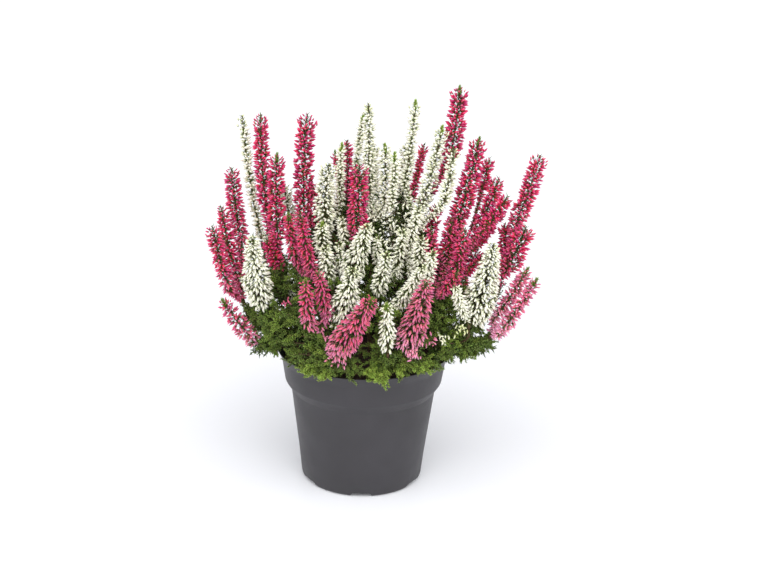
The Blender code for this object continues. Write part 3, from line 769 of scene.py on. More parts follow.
# %% How each spray looks
# Fullness thins out the buds, paleness runs from deep colour to pale, nod turns the buds down,
# and tips names the spikes that end in a green leafy tip
LOOKS = {
    "red_left": {"pale": 0.10, "nod": 0.35},
    "red_left_low": {"pale": 0.35, "nod": 0.3, "fullness": 0.75, "tips": (0,)},
    "red_left_tall": {"pale": 0.0, "nod": 0.1, "tips": (1,)},
    "red_back_tall": {"pale": 0.02, "nod": 0.05, "tips": (1,)},
    "red_left_front": {"pale": 0.1, "nod": 0.4, "tips": (0,)},
    "red_front_pair": {"pale": 0.25, "nod": 0.8, "tips": (0,)},
    "red_middle": {"pale": 0.04, "nod": 0.3},
    "red_crown": {"pale": 0.02, "nod": 0.05, "tips": (1,)},
    "red_right_tall": {"pale": 0.0, "nod": 0.15, "tips": (0,)},
    "red_right_outer": {"pale": 0.04, "nod": 0.1},
    "red_right_low": {"pale": 0.55, "nod": 0.3, "tips": (0, 1)},
    "red_right_front": {"pale": 0.12, "nod": 0.3},
    "red_front_right": {"pale": 0.5, "nod": 0.9},
    "red_front_left": {"pale": 0.33, "nod": 0.9, "tips": (0,)},
    "white_left_tall": {"nod": 0.1, "fullness": 0.7},
    "white_left_low": {"nod": 0.7},
    "white_left_inner": {"nod": 0.3, "tips": (0,)},
    "white_middle_low": {"nod": 0.5, "tips": (0,)},
    "white_crown": {"nod": 0.15, "fullness": 0.9, "tips": (0, 2, 3)},
    "white_right_tall": {"nod": 0.1, "fullness": 0.8, "tips": (0, 1)},
    "white_right_low": {"nod": 0.7},
    "white_middle_right": {"nod": 0.4},
    "white_middle": {"nod": 0.6},
    "white_front_left": {"nod": 1.0},
    "white_front_low": {"nod": 1.0, "fullness": 0.85, "tips": (0,)},
    "white_front_slant": {"nod": 0.9},
}
# Single florets that grow away from a spray's spikes: middle, spread, number, paleness
LOOSE = {
    "red_front_right": (((34, -68, 124), 5.0, 26, 0.9), ((45, -62, 131), 4.0, 10, 0.7)),
    "red_front_left": (((-22, -68, 118), 5.0, 18, 0.7), ((-14, -66, 114), 4.0, 8, 0.9)),
    "red_left_front": (((-54, -38, 147), 4.0, 8, 0.35),),
    "white_right_low": (((54, -55, 129), 3.5, 18, 0.35), ((68, -48, 133), 6.0, 14, 0.8)),
    "red_front_pair": (((-30, -60, 134), 4.0, 10, 0.8),),
    "white_crown": (((14, -8, 196), 16.0, 90, 0.1), ((2, -6, 202), 13.0, 50, 0.1)),
    "white_right_tall": (((34, -6, 190), 15.0, 70, 0.1),),
    "white_middle": (((18, -24, 178), 14.0, 50, 0.1),),
    "red_right_outer": (((94, -9, 156), 4.0, 18, 0.3),),
}
BUDS_PER_AREA, LEAST_BUDS, FULLNESS = 0.66, 8, 1.1
BUD_LENGTH, BUD_LENGTH_NODDING = 4.7, 4.6
BUD_WIDTH, BUD_WIDTH_NODDING = 0.40, 0.34
WHITE_WIDER = 1.1
BUD_SPREAD, BUD_OVERHANG = 1.12, 1.1
FLOWERING_STALK = 30.0
BUD_STALK_DROP = 1.5
FLORET_LENGTHS, FLORET_WIDTH = (3.2, 4.4), 0.38
GOLDEN = math.pi * (3 - math.sqrt(5))
REAR_LOOK = {"pale": 0.1, "nod": 0.3}
print(len(LOOKS), "sprays have looks of their own,", len(LOOSE), "have loose florets")


# %% The outline of a spike, and how its buds lean
def spike_outline(spike, nod, extra):
    """A spike's half width at fine shares t of its length, from -extra on its stalk to 1.

    It narrows by a share of taper times t^1.6, closes in a round end, and is slimmer below 0."""
    half, taper = spike[2:]
    t = np.linspace(-extra, 1.0, 90)
    end = np.sqrt(np.clip(1 - ((t - 0.92) / 0.08).clip(0, 1) ** 2, 0.12, 1))
    narrowing = 1 - (0.5 + 0.5 * nod) * taper * t.clip(0) ** 1.6
    outline = (BUD_SPREAD * half * narrowing + BUD_OVERHANG) * end
    return t, outline * np.clip(0.85 + t, 0.5, 1.0)


def bud_headings(t, along, outwards, nod, chance):
    """Each bud leans from its spike's axis by an angle that grows towards the foot, by two
    curves that nod mixes: at 80 degrees at most upright, at 142 nodding."""
    count = len(t)
    upright = 34 + 46 * smooth((1 - t) / 0.25)
    nodding = 60 + 82 * (1 - t).clip(0, 1) ** 0.7
    lean = upright + (nodding - upright) * nod
    lean = np.radians(lean + chance.normal(0, 11, count))[:, None]
    way = np.cos(lean) * along + np.sin(lean) * outwards
    return lean[:, 0], unit(way + (0, 0, -0.35 * nod) + chance.normal(0, 0.12, (count, 3)))


widest = float(spike_outline(SPRAYS["red_middle"][0], 0.3, 0.2)[1].max())
print("the middle spike is", round(2 * widest, 1), "mm wide with its buds")


# %% Where the buds of a spike are
def buds_of(spike, stalk, look, chance):
    """Where a spike's buds are: shares, stalk feet, axes, bud feet, headings and lengths.

    Bud number i is turned by i golden angles, and equal parts of the outline's area get equal
    numbers of buds. Their tips lie on the outline or a little inside it."""
    nod = look["nod"]
    path = np.vstack([stalk[:-1], spike_path(*spike[:2], np.linspace(0, 1, 24))])
    below = along_path(stalk, 0.0)[1]
    length = along_path(path, 0.0)[1] - below
    extra = min(0.75 * below, FLOWERING_STALK) / length
    t_fine, outline = spike_outline(spike, nod, extra)
    area = np.cumsum(outline)
    count = int(BUDS_PER_AREA * spike[2] * length * (1 + 0.6 * extra)
                * look.get("fullness", FULLNESS)) + LEAST_BUDS
    rank = (np.arange(count) + chance.uniform(0.2, 0.8, count)) / count
    t = np.interp(rank, area / area[-1], t_fine)
    radius = np.interp(t, t_fine, outline) * (1 - 0.45 * chance.uniform(0, 1, count) ** 2)
    far = below + t * length
    axis = along_path(path, far)[0]
    root = along_path(path, far - BUD_STALK_DROP)[0]
    along = unit(along_path(path, far + BUD_STALK_DROP)[0] - root)
    angle = np.arange(count) * GOLDEN + chance.uniform(-0.4, 0.4, count)
    outwards = around(*square_axes(along), angle)
    lean, way = bud_headings(t, along, outwards, nod, chance)
    size = BUD_LENGTH + (BUD_LENGTH_NODDING - BUD_LENGTH) * nod
    size = size * chance.uniform(0.82, 1.12, count) * (1 - 0.4 * smooth((t - 0.8) / 0.2))
    size = np.minimum(size, (radius + 0.8) / np.abs(np.sin(lean)).clip(0.25))
    foot = axis + radius[:, None] * outwards - size[:, None] * way
    return t, root, along, foot, way, size


def paleness(colour, look, t, chance):
    """How pale each bud is: red buds pale towards the foot of a spike, white ones turn greenish
    towards its tip."""
    if colour == "red":
        pale = look.get("pale", 0.0)
        pale = 0.8 * pale + (0.1 + pale) * smooth((0.35 - t) / 0.35)
        return np.clip(pale + chance.normal(0, 0.07, len(t)), 0, 1)
    return np.clip(0.6 * smooth((t - 0.85) / 0.15) + chance.normal(0.05, 0.08, len(t)), 0, 1)


print("each bud is turned by", round(math.degrees(GOLDEN), 1), "degrees from the last")


# %% Leaves on the stalks and at the tips
STALK_LEAVES, AXIS_LEAVES = 0.5, 0.6
STALK_LEAF_LENGTHS = (2.0, 3.2)
TIP_LEAVES, TIP_LENGTH = 34, 7.0


def leafy_stalk(green, stalk, spacing, chance):
    """Single scale leaves all round a stalk, one at each step of the spacing, each turned by a
    golden angle from the last."""
    length = along_path(stalk, 0.0)[1]
    count = int(length / spacing)
    far = (np.arange(count) + 0.5) / count * length
    place = along_path(stalk, far)[0]
    along = unit(along_path(stalk, far + 0.8)[0] - along_path(stalk, far - 0.8)[0])
    side = around(*square_axes(along), np.arange(count) * GOLDEN)
    heading = unit(along + 0.9 * side + chance.normal(0, 0.15, (count, 3)))
    long = chance.uniform(*STALK_LEAF_LENGTHS, count)
    green.add(scale_leaves(place + 0.6 * side, heading, side, long, 0.36, 0.3),
              chance.uniform(0, 1, count), 0.25)


def green_tip(green, spike, colour, chance):
    """A leafy tip: leaves in golden angles over the last millimetres of a spike, leaning out by
    42 degrees at first and by 12 at the end, where they are shorter."""
    base, tip = spike[:2]
    rank = np.arange(TIP_LEAVES) / (TIP_LEAVES - 1)
    t = 1 - TIP_LENGTH / np.linalg.norm(np.subtract(tip, base)) * (1 - rank)
    along = np.tile(unit(np.subtract(tip, base)), (TIP_LEAVES, 1))
    side = around(*square_axes(along), np.arange(TIP_LEAVES) * GOLDEN)
    lean = np.radians(42 - 30 * rank)[:, None]
    heading = np.cos(lean) * along + np.sin(lean) * side
    places = spike_path(base, tip, t.clip(0, 1)) + 0.5 * side
    green.add(scale_leaves(places, heading, side, 3.2 - 1.2 * rank, 0.38, 0.4),
              chance.uniform(0, 1, TIP_LEAVES), 0.45 if colour == "red" else 0.9)


print("a green tip has", TIP_LEAVES, "leaves on its last", TIP_LENGTH, "mm")


# %% One spike on its stalk
def grow_spike(buds, green, spike, stalk, colour, look, chance):
    """A woody axis with leaves all round it, and on it the buds. Each bud stands on a short stalk
    and has one small leaf beside it."""
    upper = spike_path(*spike[:2], np.linspace(0, 0.985, 12))
    axis = np.vstack([stalk[:-1], upper])
    green.add(stalks(axis[None], np.linspace(0.95, 0.4, len(axis))[None], 5), 0.5, 0.55, kind=1)
    leafy_stalk(green, stalk, STALK_LEAVES, chance)
    leafy_stalk(green, upper, AXIS_LEAVES, chance)
    t, root, along, foot, heading, size = buds_of(spike, stalk, look, chance)
    frames = frames_towards(heading, along)
    slim = BUD_WIDTH + (BUD_WIDTH_NODDING - BUD_WIDTH) * look["nod"]
    width = slim * size * chance.uniform(0.85, 1.15, len(size))
    width *= WHITE_WIDER if colour == "white" else 1.0
    tint = chance.uniform(0, 1, len(size))
    buds.add(copies(BUD_SHAPE, foot, frames, np.stack([width, width, size], -1)),
             tint, paleness(colour, look, t, chance))
    green.add(slivers(root, foot + 0.4 * heading, 0.6), tint, 0.8, kind=1)
    side = around(frames[:, 0], frames[:, 1], chance.uniform(0, math.tau, len(size)))
    green.add(scale_leaves(foot + 0.15 * width[:, None] * side, unit(heading + 0.5 * side), side,
                           0.58 * size, 0.5, 0.4), tint, 0.22)


def loose_florets(buds, green, group, chance):
    """Buds scattered about one place, each on a thin stalk that comes from behind and below."""
    middle, spread, count, pale = group
    heading = unit(chance.normal(0, 0.7, (count, 3)) + (0, -0.6, -0.5))
    foot = np.array(middle) + chance.normal(0, spread / 2, (count, 3))
    frames = frames_towards(heading, chance.normal(0, 1, (count, 3)))
    size = chance.uniform(*FLORET_LENGTHS, count)
    wide = FLORET_WIDTH * size
    buds.add(copies(BUD_SHAPE, foot, frames, np.stack([wide, wide, size], -1)),
             chance.uniform(0, 1, count), pale)
    start = foot - 5.0 * heading * (1, 1, 0) - (0, 0, 2.0)
    green.add(slivers(start, foot, 0.6), 0.5, 0.8, kind=1)


print("loose florets:", sum(group[2] for groups in LOOSE.values() for group in groups))


# %% A spray: its buds in one piece, its stalks and leaflets in another
def make_spray(name, spikes, number):
    """Grow every spike of a spray from its fork, then its loose florets, and dress both pieces."""
    colour = name.split("_")[0]
    look = LOOKS.get(name, REAR_LOOK)
    chance = np.random.default_rng(SEED * 100 + number)
    fork, way = fork_of(spikes)
    buds, green = Heap(), Heap()
    if len(spikes) > 1:
        knuckle = np.array([[fork, fork + way * KNUCKLE_LENGTH]])
        green.add(stalks(knuckle, np.full((1, 2), 1.3), 6), 0.5, 0.4, kind=1)
    for place, spike in enumerate(spikes):
        start = KNUCKLE_LENGTH * (0.3 + 0.1 * place) if len(spikes) > 1 else 0.0
        stalk = stalk_path(fork, way, *spike[:2], start, np.linspace(0, 1, 8))
        grow_spike(buds, green, spike, stalk, colour, look, chance)
        if place in look.get("tips", ()):
            green_tip(green, spike, colour, chance)
    for group in LOOSE.get(name, ()):
        loose_florets(buds, green, group, chance)
    node = "spray_" + name
    petal = red_petal if colour == "red" else white_petal
    dress(node + "_buds", buds.mesh(node + "_buds"), [petal], [node])
    dress(node + "_stalks", green.mesh(node + "_stalks"), [leaf, bark], [node])
    return buds.triangles(), green.triangles()


counts = [make_spray(name, spikes, number) for number, (name, spikes) in enumerate(sprays.items())]
print("buds", sum(c[0] for c in counts), "triangles, stalks", sum(c[1] for c in counts))

# %% [markdown]
# ## Foliage
# Below the flowers is a dense cushion of scale-leaved shoots. A cushion could be one lumpy surface
# with a bump, but its edge would look cut. Here twigs grow from the woody stems to places on the
# outline of the cushion, and each twig bears short side shoots set with small leaves in rings of
# four. The outermost shoots are the young, light green ones.

# %% Where the twigs end
CUSHION_HEIGHTS = (99.0, 105.0, 114.0, 128.0, 142.0, 156.0, 170.0, 186.0, 200.0)
CUSHION_RADII = (65.0, 74.0, 80.0, 83.0, 78.0, 66.0, 50.0, 38.0, 26.0)
CUSHION_WIDER = 0.04
FRONT_HOLLOW, FRONT_START = 0.2, 104.0
CROWN_START, CROWN_STEP, CROWN_SHIFT = 150.0, 40.0, 26.0
LOWEST_TWIG = 99.5
TWIGS = 570
# Clumps besides those: middle, spread, number of twigs, freshness. The light ones hang over the
# front of the rim, the dark ones close the depths between the sprays: partly old leaves, partly
# painted shade
TUFTS = (
    ((-40, -58, 103), 4.0, 7, 0.95), ((-27, -61, 101), 4.0, 7, 0.95),
    ((4, -62, 105), 5.0, 8, 0.95), ((13, -65, 100), 4.0, 8, 1.0),
    ((25, -61, 103), 4.0, 6, 0.95), ((44, -57, 108), 4.0, 7, 0.9),
    ((80, -30, 115), 7.0, 14, 0.55), ((71, -34, 109), 6.0, 12, 0.6),
    ((86, -31, 121), 5.0, 8, 0.5), ((-54, -15, 124), 8.0, 14, 0.35),
    ((-50, 5, 117), 8.0, 10, 0.2), ((57, -24, 124), 9.0, 21, 0.3),
    ((52, -6, 113), 8.0, 10, 0.2), ((0, 12, 168), 12.0, 14, 0.1))
print(TWIGS, "twigs round the cushion and", sum(tuft[2] for tuft in TUFTS), "in tufts")


def cushion_places(chance):
    """Places on the cushion's outline, spaced by the golden angle round it and by area up it.

    The outline draws back at the front, where the nodding spikes hang before it, and its crown
    stands further back than its middle. The crown's leaves are darkened as a painted shade among the
    sprays."""
    rank = (np.arange(TWIGS) + 0.5) / TWIGS
    height = np.linspace(CUSHION_HEIGHTS[0], CUSHION_HEIGHTS[-1], 200)
    area = np.cumsum(np.interp(height, CUSHION_HEIGHTS, CUSHION_RADII) ** 1.1)
    z = np.interp(rank, area / area[-1], height) + chance.uniform(-1.5, 1.5, TWIGS)
    radius = np.interp(z, CUSHION_HEIGHTS, CUSHION_RADII) * chance.uniform(0.86, 1.02, TWIGS)
    angle = np.arange(TWIGS) * GOLDEN + chance.uniform(-0.05, 0.05, TWIGS)
    front = np.clip(-np.sin(angle), 0, 1) ** 3
    hollow = FRONT_HOLLOW * front * smooth((z - FRONT_START) / 20)
    radius = radius * (1 + CUSHION_WIDER * np.cos(2 * angle) - hollow)
    crown = smooth((z - CROWN_START) / CROWN_STEP)
    places = np.stack([radius * np.cos(angle), radius * np.sin(angle) + CROWN_SHIFT * crown, z], -1)
    # The crown term darkens the leaves high up: a painted shade among the sprays
    fresh = (0.3 + 0.5 * chance.uniform(0, 1, TWIGS) ** 1.5) * (1 - 0.8 * crown)
    for middle, spread, count, light in TUFTS:
        clump = np.array(middle) + chance.normal(0, spread / 2, (count, 3))
        clump[:, 2] = np.maximum(clump[:, 2], LOWEST_TWIG)
        places = np.vstack([places, clump])
        fresh = np.append(fresh, np.full(count, light))
    return places, fresh


# %% Leafy shoots and their leaves
LEAVES_IN_RING = 4
ABOVE_LIP, INSIDE_LIP, OUTSIDE_LIP = 0.4, 0.5, 0.3


def off_lip(points):
    """True where a point keeps clear of the pot's lip: it is above the lip, or its distance from
    the axis is less than the wall's inner radius at its height or more than the outer one."""
    radius = np.hypot(points[:, 0], points[:, 1])
    outer = outer_wall(points[:, 2].clip(LIP_BOTTOM))
    above = points[:, 2] > POT_HEIGHT + ABOVE_LIP
    return above | (radius < outer - WALL - INSIDE_LIP) | (radius > outer + OUTSIDE_LIP)


def shoots_from(foot, way, long, bend, points):
    """Curves of a given length that leave each foot along its way and turn a little by bend."""
    return bezier(foot, foot + 0.5 * long * way, foot + long * unit(way + bend),
                  np.linspace(0, 1, points))


def leafy(heap, shoots, leaf_length, leaves, fresh, chance):
    """Set leaves along shoots: ring after ring of four, each ring turned half a step.

    shoots is (shoots, points, 3). Leaf j stands at the share (j + 0.5) / leaves of its shoot and
    leans 66 degrees from it at the foot, 30 at the tip. None grows through the pot's lip."""
    count, rows, _ = shoots.shape
    rank = (np.arange(leaves) + 0.5) / leaves
    place = rank * (rows - 1)
    low = np.minimum(place.astype(int), rows - 2)
    part = (place - low)[None, :, None]
    at = shoots[:, low] * (1 - part) + shoots[:, low + 1] * part
    tangent = unit(shoots[:, low + 1] - shoots[:, low])
    ring = np.arange(leaves) // LEAVES_IN_RING
    step = np.arange(leaves) % LEAVES_IN_RING + 0.5 * (ring % 2)
    angle = step * math.tau / LEAVES_IN_RING + chance.uniform(0, math.pi, count)[:, None]
    side = around(*square_axes(tangent), angle)
    lean = np.radians(66 - 36 * rank)[None, :, None]
    heading = np.cos(lean) * tangent + np.sin(lean) * side
    heading = unit(heading + chance.normal(0, 0.10, heading.shape)).reshape(-1, 3)
    long = leaf_length * (1.05 - 0.35 * rank)[None] * chance.uniform(0.85, 1.1, (count, leaves))
    long = long.ravel()
    foot = (at + 0.25 * side).reshape(-1, 3)
    tint = chance.uniform(0, 1, count * leaves)
    shade = np.repeat(fresh, leaves) * (0.75 + 0.35 * np.tile(rank, count))
    clear = off_lip(foot) & off_lip(foot + long[:, None] * heading)
    heap.add(scale_leaves(foot[clear], heading[clear], side.reshape(-1, 3)[clear], long[clear],
                          0.6, 0.4), tint[clear], shade.clip(0, 1)[clear])
    clear = off_lip(shoots[:, 0]) & off_lip(shoots[:, -1])
    heap.add(slivers(shoots[clear, 0], shoots[clear, -1], 0.6), 0.5, 0.8, kind=1)


print("leaves keep off the lip from", LIP_BOTTOM, "to", POT_HEIGHT + ABOVE_LIP, "mm")


# %% Twigs from the stems to the cushion
TWIG_REACH = 48.0
OUTWARDS_PENALTY, LOW_PENALTY, LOW_STEM = 30.0, 12.0, 101.0


def twigs_to(places, stems):
    """Join each place to the nearest stem point that lies inside and below it: points that don't
    count as further away than they are."""
    points = np.concatenate(stems)
    owner = np.repeat(np.arange(len(stems)), [len(stem) for stem in stems])
    distance = np.linalg.norm(places[:, None] - points[None], axis=2)
    out, stem_out = (np.linalg.norm(some[:, :2], axis=1) for some in (places, points))
    wrong = np.where(out[:, None] - stem_out < 3, OUTWARDS_PENALTY, 0.0)
    wrong = wrong + np.where(points[:, 2] < LOW_STEM, LOW_PENALTY, 0.0)
    wrong = wrong + np.clip(points[:, 2] - places[:, 2:] + 4, 0, None)
    best = np.argmin(distance + wrong, axis=1)
    return points[best], owner[best], distance[np.arange(len(places)), best]


stems, stem_owner = [], []
for number, names in enumerate(BRANCHES.values()):
    for spray in names:
        fork, way = fork_of(sprays[spray])
        stems.append(stem_path(roots[number], fork, way, np.linspace(0, 1, 30)))
        stem_owner.append(number)
stem_owner = np.array(stem_owner)

chance = np.random.default_rng(SEED)
ends, fresh = cushion_places(chance)
starts, owner, reach = twigs_to(ends, stems)
near = reach < TWIG_REACH
ends, fresh, starts, owner = ends[near], fresh[near], starts[near], stem_owner[owner[near]]
print(len(ends), "twigs of at most", round(float(reach[near].max()), 1), "mm")

# %% Shoots on the stems
STEM_LEAVES, STEM_LEAF = 12, 2.2
STEM_SHOOT_GAP, LOWEST_SHOOT = 2.0, 96.0


def leafy_stem(heap, stem, chance):
    """Short leafy shoots all the way up a stem, from just above the rim to its fork."""
    length = along_path(stem, 0.0)[1]
    foot = along_path(stem, np.arange(length * 0.3, length - 2.5, STEM_SHOOT_GAP))[0]
    foot = foot[foot[:, 2] > LOWEST_SHOOT]
    count = len(foot)
    tangent = unit(np.gradient(foot, axis=0))
    side = around(*square_axes(tangent), np.arange(count) * GOLDEN)
    long = chance.uniform(4.5, 7.0, count)[:, None]
    shoots = shoots_from(foot, unit(0.9 * tangent + side), long, 0.3 * tangent, 3)
    leafy(heap, shoots, STEM_LEAF, STEM_LEAVES, np.full(count, 0.15), chance)


print(len(stems), "stems bear a shoot every", STEM_SHOOT_GAP, "mm")

# %% Twigs and the shoots on them
SIDE_SHOOTS, INNER_SHOOTS = 4, 3
SHOOT_LEAVES, INNER_LEAVES = 20, 8
LEAF_LENGTH, INNER_LEAF = 2.05, 4.2
RIM_TOP, OVER_RIM, TWIG_RISE = 106.0, 108.0, 0.16


def grow_twigs(heap, start, end, fresh, chance):
    """Twigs bend upwards on their way out and cross the rim above it. Leafy side shoots leave
    their last part by golden angles, and longer, darker ones fill the cushion behind them: their
    darkness is partly older leaves and partly a painted shade inside the cushion."""
    count = len(start)
    reach = np.linalg.norm(end - start, axis=1)
    control = (start + end) / 2
    control[:, 2] += TWIG_RISE * reach
    low = end[:, 2] < RIM_TOP
    control[low, 2] = np.maximum(control[low, 2], OVER_RIM)

    def back_from_tip(distance, least, shortest):
        """The point of each twig that lies a distance before its tip."""
        t = 1 - distance / reach.clip(shortest)
        return bezier(start, control, end, t.clip(least, 1)[:, None])[:, 0]

    twigs = bezier(start, control, end, np.linspace(0, 1, 5))
    heap.add(stalks(twigs, np.tile(np.linspace(0.55, 0.3, 5), (count, 1)), 4),
             chance.uniform(0, 1, count), 0.3, kind=1)
    heading = unit(twigs[:, -1] - twigs[:, -2])
    last = bezier(start, control, end, 1 - 8.0 / reach[:, None].clip(12) * (1.0, 0.5, 0.0))
    leafy(heap, last, LEAF_LENGTH, SHOOT_LEAVES, fresh, chance)
    outwards = unit(end * (1, 1, 0.0) + (0, 0, 12.0))
    for number in range(SIDE_SHOOTS):
        foot = back_from_tip(1.5 + 2.6 * number + chance.uniform(-0.8, 0.8, count), 0.3, 8)
        angle = number * GOLDEN + chance.uniform(0, math.tau, count)
        side = around(*square_axes(heading), angle)
        way = unit(0.55 * heading + side + 0.35 * outwards)
        long = chance.uniform(4.5, 7.5, count)[:, None]
        leafy(heap, shoots_from(foot, way, long, 0.35 * outwards, 4), LEAF_LENGTH, SHOOT_LEAVES,
              fresh * (1 - 0.1 * number), chance)
    # Inner shoots keep a third of the freshness: partly older leaves, partly a painted shade inside
    # the cushion
    for number in range(INNER_SHOOTS):
        foot = back_from_tip(13.0 + 4.5 * number + chance.uniform(-1.5, 1.5, count), 0.1, 16)
        way = unit(chance.normal(0, 1, (count, 3)) + 0.6 * outwards)
        long = chance.uniform(6.0, 10.0, count)[:, None]
        leafy(heap, shoots_from(foot, way, long, 0.0, 3), INNER_LEAF, INNER_LEAVES,
              0.3 * fresh, chance)


print("each twig bears", SIDE_SHOOTS, "outer shoots and", INNER_SHOOTS, "inner ones")


# %% A branch: its trunk, stems, twigs, shoots and leaves in one piece
def make_branch(name, number):
    """Stand a branch in its hole, run its stems to their forks and dress them with leaves."""
    chance = np.random.default_rng(SEED * 1000 + number)
    heap = Heap()
    x, y = roots[number]
    heights = (SOIL_TOP - HOLE_DEPTH + GAP, SOIL_TOP - 2, SOIL_TOP + TRUNK_RISE)
    trunk = np.array([[(x, y, z) for z in heights]])
    heap.add(stalks(trunk, np.array([[1.5, 1.6, 1.45]]), 8), 0.4, 0.0, kind=1)
    for stem in (stem for stem, whose in zip(stems, stem_owner) if whose == number):
        thick = np.linspace(1.35, 0.95, len(stem))[None]
        heap.add(stalks(stem[None], thick, 7), 0.5, 0.15, kind=1)
        leafy_stem(heap, stem, chance)
    mine = owner == number
    if mine.any():
        grow_twigs(heap, starts[mine], ends[mine], fresh[mine], chance)
    node = "branch_" + name
    dress(node + "_leaves", heap.mesh(node + "_leaves"), [leaf, bark], [node])
    return heap.triangles()


foliage = [make_branch(name, number) for number, name in enumerate(BRANCHES)]
print("foliage", sum(foliage), "triangles, the fullest branch", max(foliage))

# %% [markdown]
# ## Pot
# A moulded nursery pot is a turned shape, so one profile carried round the axis makes it. The
# profile is a short list of corners. Each corner is rounded by a small curve, as the mould's are.
# The drainage grooves lift the underside by a formula, and only the drain holes are cut.


# %% Finishes of the pot and the peat
def make_plastic():
    """Dark grey plastic: faint clouds of colour and gloss, and a fine moulded grain."""
    finish, tree, shader = new_finish("pot_plastic")
    fill(tree, shader, {
        "Base Color": mixed(tree, mottled(tree, 25.0), srgb(43, 41, 44), srgb(49, 47, 51)),
        "Roughness": mottled(tree, 60.0, 0.44, 0.54, 4.0),
        "Normal": bumped(tree, mottled(tree, 2600.0), 0.00006, 0.6)})
    return finish


def make_peat():
    """Dark brown peat: crumbs in colour and in height, and no gloss."""
    finish, tree, shader = new_finish("peat")
    fill(tree, shader, {
        "Base Color": mixed(tree, mottled(tree, 420.0, detail=5.0),
                            srgb(26, 17, 12), srgb(74, 50, 36)),
        "Roughness": 0.95, "Normal": bumped(tree, mottled(tree, 700.0, detail=5.0), 0.001)})
    return finish


pot_plastic = make_plastic()
peat = make_peat()
print("finishes:", pot_plastic.name, peat.name)


# %% Profiles with rounded corners
def rounded(corners):
    """A profile with its corners rounded: between the points one radius before and after each
    corner runs a quadratic curve that is pulled towards the corner."""
    made = [np.array([corners[0][:2]], float)]
    for before, here, after in zip(corners, corners[1:], corners[2:]):
        middle, size = np.array(here[:2], float), here[2]
        if size == 0:
            made.append(middle[None])
            continue
        start = middle + size * unit(np.subtract(before[:2], middle))
        end = middle + size * unit(np.subtract(after[:2], middle))
        made.append(bezier(start, middle, end, np.linspace(0, 1, 5)))
    made.append(np.array([corners[-1][:2]], float))
    return np.concatenate(made)


def turned(profile, sides):
    """A turned closed shape: profile points carried round the axis, and faces between the rings.

    The profile starts and ends on the axis."""
    angle = np.arange(sides) * math.tau / sides
    rings = profile[1:-1]
    points = np.stack([rings[:, :1] * np.cos(angle), rings[:, :1] * np.sin(angle),
                       rings[:, 1:] + 0 * angle], -1).reshape(-1, 3)
    points = np.concatenate([points, [[0, 0, profile[0, 1]], [0, 0, profile[-1, 1]]]])
    return points, ring_faces(len(rings), sides)


print("a rounded corner has", len(rounded([(0, 0), (9, 0, 2), (9, 9)])) - 2, "points")

# %% The pot's profile
ROUND_SIDES = 96
STEP_ROUND, COLLAR_ROUND, LIP_ROUND, RIM_ROUND = 0.8, 0.8, 1.5, 0.5
INNER_ROUND, FLOOR_ROUND = 1.0, 2.5
GROOVES, GROOVE_WIDTH, GROOVE_HEIGHT, GROOVE_START = 6, 15.0, 2.8, 20.0
DRAIN_RADIUS, DRAIN_RING, DRILL_SIDES = 3.5, 31.0, 24


def pot_profile():
    """The pot's corners, each a radius, a height and the size of its rounding: the underside, with
    rings for the grooves, the outside up to the rim, and the inside back to the floor's middle."""
    under = [(radius, 0, 0) for radius in (0, GROOVE_START - 2, GROOVE_START, 26, 36)]
    outside = [(FOOT_RADIUS, 0, FOOT_ROUND), (outer_wall(20), 20, 0), (outer_wall(45), 45, 0),
               (STEP_RADIUS, STEP_HEIGHT, STEP_ROUND),
               (COLLAR_RADIUS, COLLAR_BOTTOM, COLLAR_ROUND), (outer_wall(87), 87, 0),
               (LIP_RADIUS, LIP_BOTTOM, LIP_ROUND), (RIM_RADIUS, POT_HEIGHT, RIM_ROUND)]
    inside = [(outer_wall(height) - WALL, height, size) for height, size in (
        (POT_HEIGHT, RIM_ROUND), (LIP_BOTTOM, INNER_ROUND), (COLLAR_BOTTOM, INNER_ROUND),
        (STEP_HEIGHT, STEP_ROUND))]
    inside += [(FOOT_RADIUS - WALL, FLOOR, FLOOR_ROUND), (20, FLOOR, 0), (0, FLOOR, 0)]
    return rounded(under + outside + inside)


print("the pot's profile has", len(pot_profile()), "points")


# %% Grooves and drain holes
def lift_grooves(points):
    """Raise the underside in each groove: to the groove's height inside its width, from its
    start outwards, and by a gentle step at its edges."""
    turn = np.arctan2(points[:, 1], points[:, 0]) + math.pi / 2
    sector = math.tau / GROOVES
    turn = (turn + sector / 2) % sector - sector / 2
    radius = np.hypot(points[:, 0], points[:, 1])
    sideways = np.abs(radius * np.sin(turn))
    gate = smooth((GROOVE_WIDTH / 2 + 0.8 - sideways) / 1.6) * smooth(radius - GROOVE_START + 1)
    under = points[:, 2] < GROOVE_HEIGHT
    lifted = np.maximum(points[:, 2], GROOVE_HEIGHT * gate)
    points[:, 2] = np.where(under, lifted, points[:, 2])
    return points


def drained(pot):
    """Cut the drain holes, one in each groove, with round drills, and keep the cut mesh."""
    turn = np.arange(GROOVES) * math.tau / GROOVES - math.pi / 2
    middle = DRAIN_RING * np.stack([np.cos(turn), np.sin(turn)], -1)
    paths = np.stack([np.column_stack([middle, np.full(GROOVES, z)]) for z in (0.6, FLOOR + 2)], 1)
    drills = stalks(paths, np.full((GROOVES, 2), DRAIN_RADIUS), DRILL_SIDES)
    cutter = bpy.data.objects.new("drills", new_mesh("drills", *drills[:2]))
    bpy.context.scene.collection.objects.link(cutter)
    holes = pot.modifiers.new("drain_holes", "BOOLEAN")
    holes.operation, holes.object, holes.solver = "DIFFERENCE", cutter, "EXACT"
    graph = bpy.context.evaluated_depsgraph_get()
    pot.data = bpy.data.meshes.new_from_object(pot.evaluated_get(graph))
    pot.modifiers.clear()
    bpy.data.objects.remove(cutter, do_unlink=True)


print(GROOVES, "grooves, each with a drain hole", 2 * DRAIN_RADIUS, "mm wide")

# %% Make the pot
SHARP_EDGE = 50


